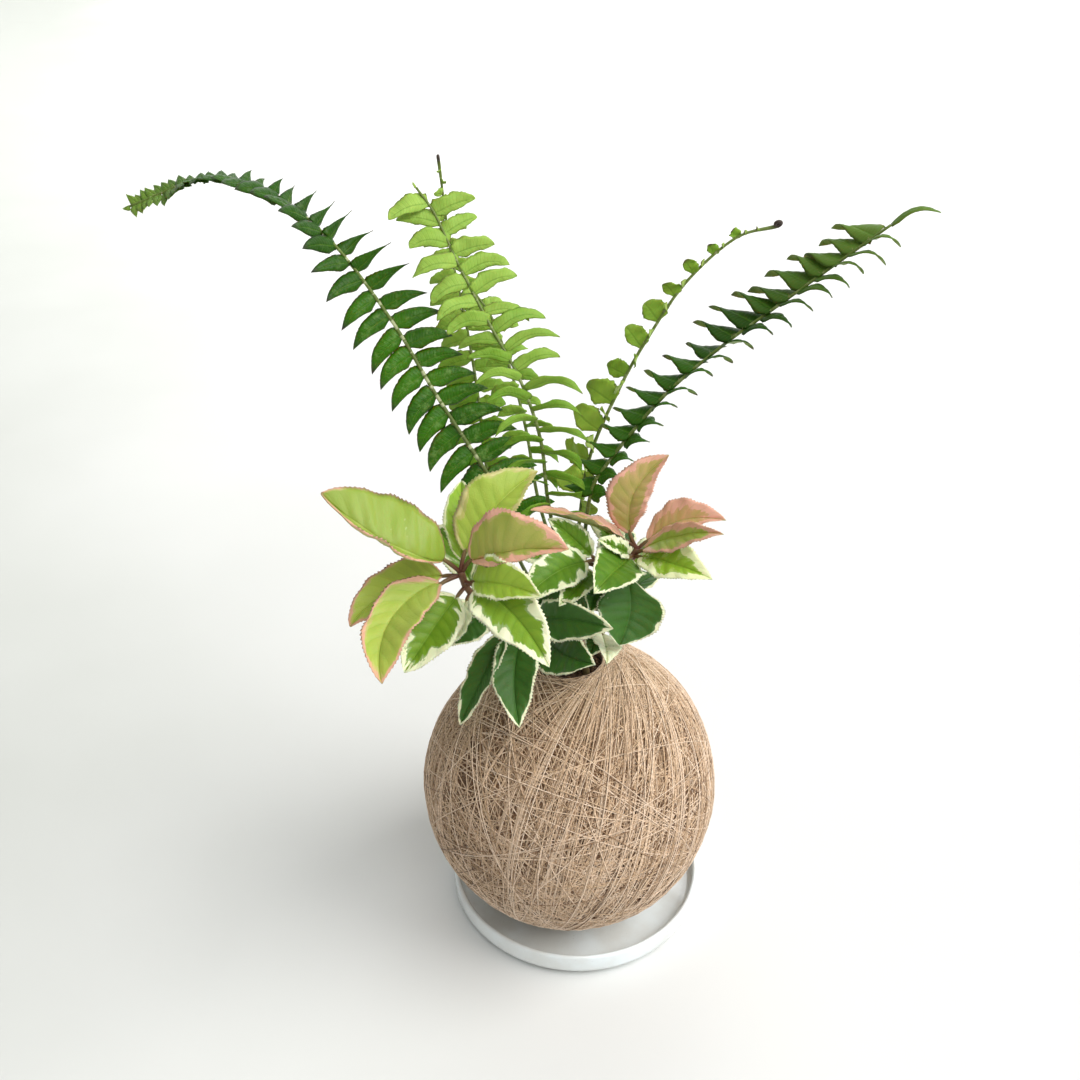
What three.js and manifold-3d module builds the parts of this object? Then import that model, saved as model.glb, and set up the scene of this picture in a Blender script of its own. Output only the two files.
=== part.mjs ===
// Kokedama: a fern and a saw-edged, cream-margined foliage plant in a thread-wound ball of soil on a saucer.
// Millimetres, +Z up. The origin is the centre of the saucer's flat underside.

import * as THREE from 'three';
import { mergeVertices } from 'three/addons/utils/BufferGeometryUtils.js';
import Module from 'manifold-3d';

const wasm = await Module();
wasm.setup();

const vec = (x, y, z) => new THREE.Vector3(x, y, z);
const { cos, sin, sqrt, asin, PI, min, max } = Math;
const radians = THREE.MathUtils.degToRad;
const mix = THREE.MathUtils.lerp;

// ---- Driving dimensions ----

const seatGap = 0.3; // between pieces that rest on or in each other

const saucer = { radius: 58.5, height: 13, floor: 4, wall: 2.3, footRadius: 54, segments: 48 };

const ball = {
  radius: 65,
  centreX: -3.8,
  centreY: -4.6,
  restRadius: 10, // of the small flat spot under it
  mouthRadius: 13, // of the opening that the plants grow from
  mouthLean: radians(7), // how far the opening lies back from the very top
  wrap: 2.6, // thickness of the wound thread
  meridians: 36,
  // where the winding swells past the sphere, and by how much
  swells: [{ towards: vec(-0.75, -0.2, 0.6), by: 1.6 }, { towards: vec(0.45, 0.3, 0.84), by: 2.2 }],
};
const restDrop = ball.radius - sqrt(ball.radius ** 2 - ball.restRadius ** 2);
ball.centreZ = saucer.floor + seatGap + ball.radius - restDrop;

const soil = {
  radius: ball.radius - ball.wrap - seatGap,
  edgeRadius: ball.mouthRadius - seatGap,
  moundRadius: 9,
  mound: 1.2,
  holeDepth: 8,
  holeClearance: 0.5, // around each stem
};
soil.top = ball.centreZ + sqrt(soil.radius ** 2 - soil.edgeRadius ** 2) + soil.mound;

const stemRadius = 1.7;
const stemTipRadius = 1.2;
const rachisRadius = 1.1;
const rachisTipRadius = 0.5;
const bladeThickness = 0.7;

// ---- Solids from rings and sheets ----

function closedGeometry(points, faces) {
  const geometry = new THREE.BufferGeometry().setFromPoints(points);
  geometry.setIndex(faces.flat());
  return geometry;
}

// Rings of equally many points, joined one to the next, with a flat fan over each end.
function loft(rings) {
  const count = rings[0].length;
  const faces = [];
  for (let ring = 0; ring + 1 < rings.length; ring++) {
    for (let k = 0; k < count; k++) {
      const next = (k + 1) % count;
      const here = ring * count;
      const there = here + count;
      faces.push([here + k, here + next, there + next], [here + k, there + next, there + k]);
    }
  }
  const last = (rings.length - 1) * count;
  for (let k = 1; k + 1 < count; k++) {
    faces.push([0, k + 1, k], [last, last + k, last + k + 1]);
  }
  return closedGeometry(rings.flat(), faces);
}

// A blade: rows of points across it, each row with its normal, given a thickness evenly on both sides.
// Both faces are split into triangles alike, so that a waved blade never crosses itself.
function sheet(rows, thickness) {
  const across = rows[0].points.length;
  const points = [];
  for (const side of [0.5, -0.5]) {
    for (const { points: row, normal } of rows) {
      for (const point of row) points.push(point.clone().addScaledVector(normal, side * thickness));
    }
  }
  const under = rows.length * across;
  const faces = [];
  const quad = (a, b, c, d) => faces.push([a, b, c], [a, c, d]);
  for (let row = 0; row + 1 < rows.length; row++) {
    for (let k = 0; k + 1 < across; k++) {
      const a = row * across + k;
      const [b, c, d] = [a + 1, a + across + 1, a + across];
      faces.push([a, b, c], [a, c, d]);
      faces.push([a + under, c + under, b + under], [a + under, d + under, c + under]);
    }
    const left = row * across;
    const right = left + across - 1;
    quad(left, left + across, left + across + under, left + under);
    quad(right, right + under, right + across + under, right + across);
  }
  const end = (rows.length - 1) * across;
  for (let k = 0; k + 1 < across; k++) {
    quad(k, k + under, k + 1 + under, k + 1);
    quad(end + k, end + k + 1, end + k + 1 + under, end + k + under);
  }
  return closedGeometry(points, faces);
}

function signedVolume(geometry) {
  const position = geometry.getAttribute('position');
  const index = geometry.getIndex().array;
  const corner = (k) => new THREE.Vector3().fromBufferAttribute(position, index[k]);
  let sum = 0;
  for (let k = 0; k < index.length; k += 3) sum += corner(k).dot(corner(k + 1).cross(corner(k + 2))) / 6;
  return sum;
}

function toSolid(geometry) {
  for (const name of Object.keys(geometry.attributes)) {
    if (name !== 'position') geometry.deleteAttribute(name);
  }
  const merged = mergeVertices(geometry, 1e-4);
  const triVerts = new Uint32Array(merged.getIndex().array);
  if (signedVolume(merged) < 0) triVerts.reverse();
  const vertProperties = new Float32Array(merged.getAttribute('position').array);
  return new wasm.Manifold(new wasm.Mesh({ numProp: 3, vertProperties, triVerts }));
}

const join = (geometries) => geometries.map(toSolid).reduce((whole, next) => whole.add(next));

function toGeometry(solid) {
  const { vertProperties, triVerts } = solid.getMesh();
  const geometry = new THREE.BufferGeometry();
  geometry.setAttribute('position', new THREE.BufferAttribute(new Float32Array(vertProperties), 3));
  geometry.setIndex(Array.from(triVerts));
  return geometry;
}

// ---- Saucer ----

function saucerSolid() {
  const { radius, height, floor, wall, footRadius, segments } = saucer;
  const inner = radius - wall;
  const outline = [
    [0, 0], [footRadius, 0], [footRadius + 2.4, 1], [radius - 0.5, 4.5], [radius, height - 1],
    [radius - 0.6, height], [inner + 0.6, height], [inner, height - 1], [inner - 0.6, floor + 2],
    [inner - 2.6, floor], [0, floor],
  ];
  return toSolid(new THREE.LatheGeometry(outline.map(([x, y]) => new THREE.Vector2(x, y)), segments)
    .rotateX(PI / 2));
}

// ---- Ball ----

// A ring of the ball at a polar angle from its lowest point, at the distance that reach gives.
// The rings are level underneath and lean back more and more towards the mouth.
function ballRing(polar, reach) {
  const lean = ball.mouthLean * (polar / PI) ** 2;
  const ring = [];
  for (let k = 0; k < ball.meridians; k++) {
    const turn = (2 * PI * k) / ball.meridians;
    const towards = vec(sin(polar) * cos(turn), sin(polar) * sin(turn), -cos(polar));
    towards.applyAxisAngle(vec(1, 0, 0), -lean);
    ring.push(towards.multiplyScalar(reach(towards)).add(vec(ball.centreX, ball.centreY, ball.centreZ)));
  }
  return ring;
}

function woundReach(towards) {
  const swell = ({ towards: axis, by }) => by * max(0, towards.dot(axis.clone().normalize())) ** 6;
  return ball.radius + ball.swells.map(swell).reduce((sum, each) => sum + each);
}

function ballRings(from, to, steps, reach) {
  return Array.from({ length: steps + 1 }, (_, k) => ballRing(mix(from, to, k / steps), reach));
}

// Thread wound over the soil: a shell, flat where it rests and open at the mouth.
function threadWrapSolid() {
  const inside = ball.radius - ball.wrap;
  const rest = asin(ball.restRadius / ball.radius);
  const outer = ballRings(rest, PI - asin(ball.mouthRadius / ball.radius), 15, woundReach);
  const inner = ballRings(PI - asin(ball.mouthRadius / inside), rest, 8, () => inside);
  return toSolid(loft([...outer, ...inner]));
}

// The soil fills the thread wrap and rises in a low mound at the mouth, with a hole for each stem.
function rootBallSolid(stands) {
  const rest = asin(ball.restRadius / ball.radius);
  const rings = ballRings(rest, PI - asin(soil.edgeRadius / soil.radius), 8, () => soil.radius);
  const edge = rings.at(-1);
  const middle = edge.reduce((sum, point) => sum.add(point), vec(0, 0, 0)).divideScalar(edge.length);
  rings.push(edge.map((point) => {
    const share = soil.moundRadius / soil.edgeRadius;
    return vec(mix(middle.x, point.x, share), mix(middle.y, point.y, share), soil.top);
  }));
  const holes = stands.map(({ root: [x, y], radius }) => {
    const height = 2 * soil.holeDepth;
    return toSolid(new THREE.CylinderGeometry(radius, radius, height, 6)
      .rotateX(PI / 2).translate(x, y, soil.top));
  });
  return holes.reduce((whole, hole) => whole.subtract(hole), toSolid(loft(rings)));
}

// ---- Stems and fronds ----

function smoothCurve(route) {
  return new THREE.CatmullRomCurve3(route.map((point) => vec(...point)), false, 'catmullrom', 0.5);
}

// Where a stem or rachis runs: straight up out of its hole and for a short way above, then through its route.
function path({ root: [x, y], route }) {
  const foot = soil.top - soil.holeDepth + seatGap;
  return smoothCurve([[x, y, foot], [x, y, soil.top], [x, y, soil.top + 6], ...route]);
}

function taperedTube(curve, startRadius, endRadius, sides, steps) {
  const { normals, binormals } = curve.computeFrenetFrames(steps);
  const rings = normals.map((normal, step) => {
    const radius = mix(startRadius, endRadius, step / steps);
    const centre = curve.getPointAt(step / steps);
    return Array.from({ length: sides }, (_, k) => {
      const turn = (2 * PI * k) / sides;
      return centre.clone().addScaledVector(normal, radius * cos(turn))
        .addScaledVector(binormals[step], radius * sin(turn));
    });
  });
  return loft(rings);
}

function acrossAxis(direction, axis) {
  return direction.clone().addScaledVector(axis, -direction.dot(axis)).normalize();
}

// The value at place of a list of [place, value] stops, straight between them: a number or a vector.
function along(stops, place) {
  const next = max(1, stops.findIndex(([stop]) => stop >= place));
  const [[a, from], [b, to]] = [stops[next - 1], stops[next]];
  const share = (place - a) / (b - a);
  return Array.isArray(from) ? vec(...from).lerp(vec(...to), share) : mix(from, to, share);
}

// Where the cross-sections of a leaflet stand. It leaves the rachis sideways, swept towards the frond's tip
// and raised from the frond's plane, then sags away from its upper face and hooks towards the tip.
function leafletSections(root, tangent, face, side, place, frond) {
  const { habit } = frond;
  const outward = tangent.clone().cross(face).multiplyScalar(side);
  const sweep = radians(habit.sweep);
  const raise = radians(along(frond.raise, place));
  const length = along(frond.lengths, place);
  const width = along(frond.widths, place);
  const sag = along(frond.sag, place) * (side < 0 ? habit.leftSag ?? 1 : 1);
  const flat = outward.multiplyScalar(cos(sweep)).addScaledVector(tangent, sin(sweep));
  const reach = flat.multiplyScalar(cos(raise)).addScaledVector(face, sin(raise)).normalize();
  const across = acrossAxis(tangent, reach).applyAxisAngle(reach, side * radians(habit.twist));
  const normal = reach.clone().cross(across).multiplyScalar(side);
  return habit.outline.map(([v, share]) => {
    const centre = root.clone().addScaledVector(reach, length * v)
      .addScaledVector(normal, -length * sag * v * v)
      .addScaledVector(across, length * habit.hook * v * v);
    return { centre, across, normal, half: (width * share) / 2 };
  });
}

// The corners of a rectangle about centre, in order round it.
function corners(centre, across, half, up, lift) {
  return [[1, 1], [-1, 1], [-1, -1], [1, -1]].map(([a, b]) => centre.clone()
    .addScaledVector(across, a * half).addScaledVector(up, b * lift));
}

// The closed skin of a frond. The rachis is a square tube, its flats turned with the frond's face,
// and each leaflet grows out of one of its side flats, between two neighbouring cross-sections.
class FrondSkin {
  points = [];
  faces = [];

  add(points) {
    points.forEach((point) => this.points.push(point));
    return points.map((_, k) => this.points.length - points.length + k);
  }

  ring({ centre, aside, face, radius }) {
    const reach = radius * Math.SQRT1_2;
    return this.add(corners(centre, aside, reach, face, reach));
  }

  cap([a, b, c, d]) {
    this.faces.push([a, b, c], [a, c, d]);
  }

  // One length of rachis between two rings. The flat where a leaflet grows stays open.
  stretch(ring, next, open) {
    for (let k = 0; k < 4; k++) {
      const other = (k + 1) % 4;
      if (k !== open) this.cap([ring[k], next[k], next[other], ring[other]]);
    }
  }

  // A blade grown from a loop of four points: back and front of one face, then front and back of the other.
  // Both of its faces are split into triangles alike, so that a curled blade never crosses itself.
  blade(loop, sections, firstIsUpper) {
    let from = loop;
    for (const { centre, across, normal, half } of sections) {
      const lift = (firstIsUpper ? 0.5 : -0.5) * bladeThickness;
      const to = this.add(corners(centre, across, -half, normal, lift));
      for (let k = 0; k < 4; k++) {
        const other = (k + 1) % 4;
        if (k < 2) this.faces.push([from[k], from[other], to[other]], [from[k], to[other], to[k]]);
        else this.faces.push([from[k], from[other], to[k]], [from[other], to[other], to[k]]);
      }
      from = to;
    }
    this.cap(from);
  }
}

// A fern frond: its rachis and two rows of leaflets that alternate along it.
function frondSolid(frond) {
  const curve = path(frond);
  const placeOf = (u) => min(1, max(0, (u - frond.leafyFrom) / (frond.leafyTo - frond.leafyFrom)));
  const frameAt = (u) => {
    const tangent = curve.getTangentAt(u);
    const face = acrossAxis(along(frond.faces, placeOf(u)), tangent);
    const radius = mix(rachisRadius, rachisTipRadius, u);
    return { centre: curve.getPointAt(u), tangent, face, aside: tangent.clone().cross(face), radius };
  };
  const between = (from, to, steps) => Array.from({ length: steps }, (_, k) => mix(from, to, k / steps));
  const bare = [0, ...between(soil.holeDepth / curve.getLength(), frond.leafyFrom, 6)];
  const leaflets = 2 * frond.pairs;
  const stations = [...bare, ...between(frond.leafyFrom, frond.leafyTo, leaflets),
    ...between(frond.leafyTo, 1, 3), 1];

  const skin = new FrondSkin();
  let ring = skin.ring(frameAt(0));
  skin.cap(ring);
  for (let k = 1; k < stations.length; k++) {
    const next = skin.ring(frameAt(stations[k]));
    const number = k - 1 - bare.length;
    const bears = number >= 0 && number < leaflets;
    const side = number % 2 ? -1 : 1;
    skin.stretch(ring, next, bears && (side > 0 ? 3 : 1));
    if (bears) {
      const { centre, tangent, face } = frameAt((stations[k - 1] + stations[k]) / 2);
      const sections = leafletSections(centre, tangent, face, side, number / leaflets, frond);
      const loop = side > 0 ? [ring[3], next[3], next[0], ring[0]] : [ring[1], next[1], next[2], ring[2]];
      skin.blade(loop, sections, side < 0);
    }
    ring = next;
  }
  if (frond.crozier) {
    for (const frame of crozierFrames(frameAt(1), frond.crozier)) {
      const next = skin.ring(frame);
      skin.stretch(ring, next);
      ring = next;
    }
    skin.cap(ring.toReversed());
  } else {
    skin.blade(ring.toReversed(), endLeafletSections(frameAt(1), frond), false);
  }
  return toSolid(closedGeometry(skin.points, skin.faces));
}

// The last leaflet, which carries the rachis on.
function endLeafletSections({ centre, tangent, face, aside }, { end: { length, width, sag }, habit }) {
  return habit.outline.map(([v, share]) => ({
    centre: centre.clone().addScaledVector(tangent, length * v).addScaledVector(face, -length * sag * v * v),
    across: aside.clone().negate(),
    normal: face,
    half: (width * share) / 2,
  }));
}

// The coiled tip of a young frond: a flat spiral that winds on from the rachis, in towards its upper face.
function crozierFrames({ centre, tangent, face, aside }, { radius, turns, thickness }) {
  const hub = centre.clone().addScaledVector(face, radius);
  const steps = 9;
  return Array.from({ length: steps }, (_, step) => {
    const share = (step + 1) / steps;
    const turn = 2 * PI * turns * share;
    const inward = face.clone().multiplyScalar(cos(turn)).addScaledVector(tangent, -sin(turn));
    const reach = mix(radius, 0.4 * radius, share);
    const centreLine = hub.clone().addScaledVector(inward, -reach);
    return { centre: centreLine, aside, face: inward, radius: thickness / 2 };
  });
}

// Outlines of leaflets: the share of the full width at places along the length.
const sickle = [[0.27, 1], [0.7, 0.8], [1, 0.16]];
const oblong = [[0.27, 1], [0.75, 0.88], [1, 0.34]];
const rounded = [[0.35, 1], [0.75, 0.9], [1, 0.4]];

// Lengths and widths are in millimetres and raise is in degrees, each given at places along the leafy part.
const fronds = [
  {
    name: 'fern_frond_long_left',
    colour: '#1f5a1c',
    root: [-3.5, 2.5],
    route: [[-12, 8, 171], [-25, 13, 195], [-39, 18, 216], [-59, 31, 244], [-77, 46, 270], [-101, 62, 297],
      [-126, 76, 312], [-154, 86, 315], [-189, 92, 302]],
    leafyFrom: 0.25,
    leafyTo: 0.99,
    pairs: 29,
    faces: [[0, [0.15, -0.9, 0.4]], [0.42, [0.1, -0.75, 0.6]], [0.68, [-0.1, 0.3, 0.9]],
      [0.86, [-0.1, 0.35, 0.9]], [1, [-0.3, -0.35, 0.85]]],
    lengths: [[0, 17], [0.15, 20], [0.45, 20], [0.7, 15], [1, 5.5]],
    widths: [[0, 7], [0.5, 7.2], [0.75, 6], [1, 3.5]],
    raise: [[0, 0], [0.4, 5], [0.7, 15], [1, 10]],
    sag: [[0, 0.25], [1, 0.1]],
    habit: { outline: sickle, sweep: -10, twist: 12, hook: -0.08 },
    end: { length: 6, width: 3, sag: 0.1 },
  },
  {
    name: 'fern_frond_light_front',
    colour: '#8fbf4a',
    root: [0.5, -0.5],
    route: [[-8, 4, 177], [-14, 8, 208], [-17, 15, 232], [-25, 25, 253], [-37, 36, 272], [-49, 47, 292],
      [-58, 54, 310], [-65, 56, 320]],
    leafyFrom: 0.36,
    leafyTo: 0.97,
    pairs: 18,
    faces: [[0, [0.1, -0.95, 0.3]], [1, [0.2, -0.8, 0.5]]],
    lengths: [[0, 20], [0.25, 21], [0.7, 18.5], [1, 15]],
    widths: [[0, 4], [0.25, 4.8], [0.5, 6.8], [0.85, 6.8], [1, 5.4]],
    raise: [[0, 10], [0.5, 5], [1, 0]],
    sag: [[0, 0.3], [0.5, 0.22], [1, 0.06]],
    habit: { outline: oblong, sweep: 4, twist: 10, hook: -0.05 },
    end: { length: 3, width: 1.4, sag: 0 },
  },
  {
    name: 'fern_frond_light_middle',
    colour: '#9cc956',
    root: [-0.5, 4.5],
    route: [[-4, 9, 153], [-10, 18, 173], [-18, 32, 195], [-23, 46, 220], [-29, 57, 241], [-37, 68, 261],
      [-47, 74, 274]],
    leafyFrom: 0.5,
    leafyTo: 0.98,
    pairs: 10,
    faces: [[0, [0.1, -0.95, 0.3]], [1, [0.2, -0.8, 0.5]]],
    lengths: [[0, 12], [0.5, 14], [1, 9]],
    widths: [[0, 6.5], [1, 6]],
    raise: [[0, 5], [1, 0]],
    sag: [[0, 0.2], [1, 0.1]],
    habit: { outline: oblong, sweep: 4, twist: 10, hook: 0 },
    end: { length: 6, width: 3.5, sag: 0.1 },
  },
  {
    name: 'fern_frond_light_back',
    colour: '#a4cf60',
    root: [-4.5, 6.5],
    route: [[-11, 13, 147], [-26, 30, 165], [-40, 52, 197], [-44, 68, 224], [-49, 80, 254], [-55, 88, 284],
      [-58, 92, 317]],
    leafyFrom: 0.42,
    leafyTo: 0.97,
    pairs: 14,
    faces: [[0, [0.1, -0.95, 0.3]], [1, [0.1, -0.95, 0.3]]],
    lengths: [[0, 12], [0.4, 15], [0.8, 11], [0.87, 6], [1, 2.5]],
    widths: [[0, 6.5], [0.8, 6], [1, 2]],
    raise: [[0, 5], [1, 0]],
    sag: [[0, 0.2], [1, 0.1]],
    habit: { outline: oblong, sweep: 6, twist: 10, hook: 0 },
    crozier: { radius: 1.5, turns: 0.8, thickness: 1.2 },
  },
  {
    name: 'fern_frond_young_right',
    colour: '#7da83a',
    root: [3.6, 3.2],
    route: [[-1, 14, 176], [0, 22, 198], [4, 28, 220], [15, 32, 247], [25, 35, 266], [39, 38, 288],
      [57, 40, 305], [73, 40, 310]],
    leafyFrom: 0.36,
    leafyTo: 0.96,
    pairs: 12,
    faces: [[0, [-0.5, -0.75, 0.6]], [1, [-0.4, -0.6, 0.75]]],
    lengths: [[0, 12], [0.35, 10], [0.6, 7], [0.8, 4.5], [1, 3.6]],
    widths: [[0, 8], [0.35, 9], [0.6, 6], [0.8, 4], [1, 3]],
    raise: [[0, 38], [1, 30]],
    sag: [[0, 0.05], [1, 0]],
    habit: { outline: rounded, sweep: 12, twist: 0, hook: 0.05 },
    crozier: { radius: 1.6, turns: 0.8, thickness: 1.3 },
  },
  {
    name: 'fern_frond_dark_right',
    colour: '#245a20',
    root: [4.6, -1.2],
    route: [[1, 4, 182], [3, 6, 212], [10, 8, 226], [30, 10, 253], [51, 10, 274], [69, 8, 290],
      [87, 4, 307], [104, 0, 323]],
    leafyFrom: 0.36,
    leafyTo: 0.985,
    pairs: 18,
    faces: [[0, [-0.45, -0.6, 0.55]], [0.3, [-0.65, -0.15, 0.67]], [1, [-0.65, -0.05, 0.7]]],
    lengths: [[0, 11], [0.3, 14], [0.8, 17], [1, 17]],
    widths: [[0, 6.4], [0.8, 6], [1, 5]],
    raise: [[0, 15], [0.6, 5], [1, 0]],
    sag: [[0, 0.3], [1, 0.25]],
    habit: { outline: sickle, sweep: 12, twist: 14, hook: -0.05, leftSag: -0.6 },
    end: { length: 15, width: 4, sag: 0.25 },
  },
];

// ---- Leafy stems ----

// A saw-edged leaf on its petiole: it arches from the stem to its tip, folded up along the midrib,
// its margin waved and cut into teeth.
function leaf(root, { tip, width, face, arch = 0.07, fold = 22, wave = 0.05, spans = 7, petiole = 0.14 }) {
  const reach = vec(...tip).sub(root);
  const length = reach.length();
  const up = acrossAxis(vec(...face), reach.clone().normalize());
  const right = reach.clone().normalize().cross(up);
  const petioleHalf = 0.9;
  const row = (t, half, ripple) => {
    const rise = length * arch * 4 * t * (1 - t);
    const centre = root.clone().addScaledVector(reach, t).addScaledVector(up, rise);
    const slope = reach.clone().addScaledVector(up, length * arch * 4 * (1 - 2 * t)).normalize();
    const normal = acrossAxis(up, slope);
    const aside = half * cos(radians(fold));
    const edge = (side) => centre.clone().addScaledVector(right, side * aside)
      .addScaledVector(normal, half * sin(radians(fold)) + side * ripple);
    return { points: [edge(1), centre, edge(-1)], normal };
  };
  const rows = [row(0, petioleHalf, 0), row(petiole, petioleHalf, 0)];
  for (let span = 1; span <= spans; span++) {
    const v = span / spans;
    const tooth = span % 2 ? 1.05 : 0.93;
    const half = max((width / 2) * sin(PI * v ** 0.85) ** 0.8 * tooth, 0.6);
    rows.push(row(mix(petiole, 1, v), span === spans ? 0.6 : half, wave * width * sin(9 * v)));
  }
  return sheet(rows, bladeThickness + 0.1);
}

// A stem with its shoots, and a leaf at each given place along one of them.
function leafyStemSolid({ shoots, leaves }) {
  const curves = shoots.map((shoot) => (shoot.root ? path(shoot) : smoothCurve(shoot.route)));
  const stems = curves.map((curve) => taperedTube(curve, stemRadius, stemTipRadius, 7, 10));
  const blades = leaves.map((each) => leaf(curves[each.shoot ?? 0].getPointAt(each.at), each));
  return join([...stems, ...blades]);
}

const leafyStems = [
  {
    name: 'leafy_stem_left',
    colour: '#86a83c',
    shoots: [{ root: [-7.5, -3.5], route: [[-10, -8, 147], [-18, -14, 161], [-33, -22, 176], [-44, -30, 190],
      [-47, -34, 202]] }],
    leaves: [
      { at: 0.99, tip: [-96, -34, 236], width: 23, face: [0.3, -0.5, 0.8], fold: 26 },
      { at: 0.97, tip: [-88, -48, 186], width: 20, face: [-0.2, -0.4, 0.9] },
      { at: 0.98, tip: [-73, -78, 184], width: 24, face: [-0.35, -0.55, 0.75] },
      { at: 1.0, tip: [-18, -14, 234], width: 22, face: [-0.3, -0.9, 0.4], fold: 15 },
      { at: 0.985, tip: [-7, -50, 222], width: 23, face: [-0.15, -0.75, 0.65], arch: 0.17 },
      { at: 0.96, tip: [-17, -62, 208], width: 20, face: [0, -0.9, 0.4] },
      { at: 0.94, tip: [-14, -74, 188], width: 22, face: [0.1, -0.75, 0.65] },
      { at: 0.91, tip: [-67, -62, 176], width: 21, face: [-0.2, -0.8, 0.5] },
      { at: 0.86, tip: [-54, -46, 174], width: 13, face: [0, -0.4, 0.9], spans: 6 },
      { at: 0.6, tip: [-49, -46, 137], width: 15, face: [-0.6, -0.6, 0.5] },
      { at: 0.5, tip: [-23, -58, 146], width: 19, face: [0, -0.65, 0.75] },
      { at: 0.97, tip: [-52, 0, 220], width: 16, face: [0, -0.6, 0.8] },
      { at: 0.93, tip: [-66, -28, 184], width: 11, face: [0, -0.5, 0.85], spans: 6 },
      { at: 0.92, tip: [-33, -6, 194], width: 11, face: [0, -0.5, 0.85], spans: 6 },
      { at: 0.5, tip: [11, -46, 179], width: 21, face: [0, -0.85, 0.5] },
      { at: 0.36, tip: [4, -38, 165], width: 19, face: [0, -0.75, 0.6] },
      { at: 0.8, tip: [-60, 8, 196], width: 16, face: [-0.2, 0.3, 0.9] },
      { at: 0.65, tip: [-42, 16, 172], width: 15, face: [-0.2, 0.4, 0.9] },
    ],
  },
  {
    name: 'leafy_stem_right',
    colour: '#6f9a46',
    shoots: [
      { root: [2.5, -5], route: [[8, -4, 150], [10, -4, 170], [17, -4, 183], [22, -4, 193]] },
      { route: [[10, -4, 168], [8, -4.5, 176], [6, -5, 188]] },
    ],
    leaves: [
      { at: 0.99, tip: [36, 4, 229], width: 25, face: [-0.2, -0.9, 0.3], fold: 15 },
      { at: 0.98, tip: [55, -10, 209], width: 17, face: [-0.2, -0.3, 0.9], fold: 30 },
      { at: 0.96, tip: [50, -30, 214], width: 13, face: [-0.1, -0.5, 0.85] },
      { at: 1.0, tip: [-21, -2, 210], width: 13, face: [0, 0.3, 1], fold: 20 },
      { at: 0.94, tip: [48, -32, 197], width: 18, face: [0.2, -0.7, 0.7] },
      { at: 0.95, tip: [3, -38, 195], width: 22, face: [0, -0.65, 0.75] },
      { at: 0.93, tip: [5, -18, 206], width: 9, face: [0, -0.6, 0.8], spans: 6 },
      { at: 0.9, tip: [3, 10, 199], width: 11, face: [0, -0.4, 0.9], spans: 6 },
      { at: 0.88, tip: [14, -30, 164], width: 30, face: [0.35, -0.75, 0.55], petiole: 0.1 },
      { at: 0.45, tip: [3, -15, 147], width: 10, face: [0, -0.7, 0.7], spans: 6 },
      { at: 0.55, tip: [-22, -10, 172], width: 17, face: [0, -0.7, 0.7] },
      { shoot: 1, at: 1.0, tip: [-24, -36, 190], width: 19, face: [0, -0.65, 0.75] },
      { shoot: 1, at: 0.7, tip: [-10, -35, 187], width: 13, face: [0, -0.5, 0.85] },
      { shoot: 1, at: 0.85, tip: [-28, -12, 196], width: 14, face: [0, -0.6, 0.8] },
      { shoot: 1, at: 0.95, tip: [-14, -4, 207], width: 12, face: [0, -0.6, 0.8] },
      { at: 0.62, tip: [50, 30, 182], width: 16, face: [0.2, 0.3, 0.9] },
      { at: 0.7, tip: [20, 40, 178], width: 16, face: [0, 0.4, 0.9] },
      { at: 0.5, tip: [36, 28, 160], width: 15, face: [0.2, 0.2, 0.9] },
    ],
  },
];

// ---- Assembly ----

const group = new THREE.Group();

function addPiece(name, solid, color, roughness) {
  const mesh = new THREE.Mesh(toGeometry(solid), new THREE.MeshStandardMaterial({ color, roughness }));
  mesh.name = name;
  group.add(mesh);
}

const stands = [
  ...fronds.map(({ root }) => ({ root, radius: rachisRadius + soil.holeClearance })),
  ...leafyStems.map(({ shoots: [{ root }] }) => ({ root, radius: stemRadius + soil.holeClearance })),
];

addPiece('saucer', saucerSolid(), '#f1f2f1', 0.15);
addPiece('root_ball', rootBallSolid(stands), '#3a2a1c', 0.95);
addPiece('thread_wrap', threadWrapSolid(), '#b8936f', 0.9);
for (const frond of fronds) addPiece(frond.name, frondSolid(frond), frond.colour, 0.45);
for (const stem of leafyStems) addPiece(stem.name, leafyStemSolid(stem), stem.colour, 0.45);

export default group;
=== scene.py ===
# A moss ball plant: ferns and saw-edged leaves in a thread-wound ball of soil, on a white saucer.
# Shapes are worked out in millimetres and become metres when a mesh is made.
import math

import bpy
import numpy as np
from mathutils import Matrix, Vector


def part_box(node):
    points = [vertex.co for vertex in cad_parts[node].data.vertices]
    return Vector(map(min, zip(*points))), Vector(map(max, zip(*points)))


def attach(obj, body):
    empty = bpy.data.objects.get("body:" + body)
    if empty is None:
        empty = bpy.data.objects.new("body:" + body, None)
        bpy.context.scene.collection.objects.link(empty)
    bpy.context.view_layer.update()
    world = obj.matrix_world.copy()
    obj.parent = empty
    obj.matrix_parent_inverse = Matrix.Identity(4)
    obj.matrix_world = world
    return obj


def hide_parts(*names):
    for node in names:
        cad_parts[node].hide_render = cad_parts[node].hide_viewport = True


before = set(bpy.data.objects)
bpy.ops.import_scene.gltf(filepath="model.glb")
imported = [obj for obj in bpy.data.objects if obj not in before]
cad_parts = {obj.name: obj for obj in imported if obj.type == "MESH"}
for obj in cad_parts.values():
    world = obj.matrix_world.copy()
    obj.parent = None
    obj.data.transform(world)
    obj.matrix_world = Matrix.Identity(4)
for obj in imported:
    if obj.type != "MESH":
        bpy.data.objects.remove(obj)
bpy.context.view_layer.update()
mm = 0.001
chance = np.random.default_rng(11)


def nodeTop(node):  # the height of a CAD node's highest point
    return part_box(node)[1][2] / mm


# Vectors, paths and stops


def dot(a, b):
    return np.sum(a * b, axis=-1, keepdims=True)


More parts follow.
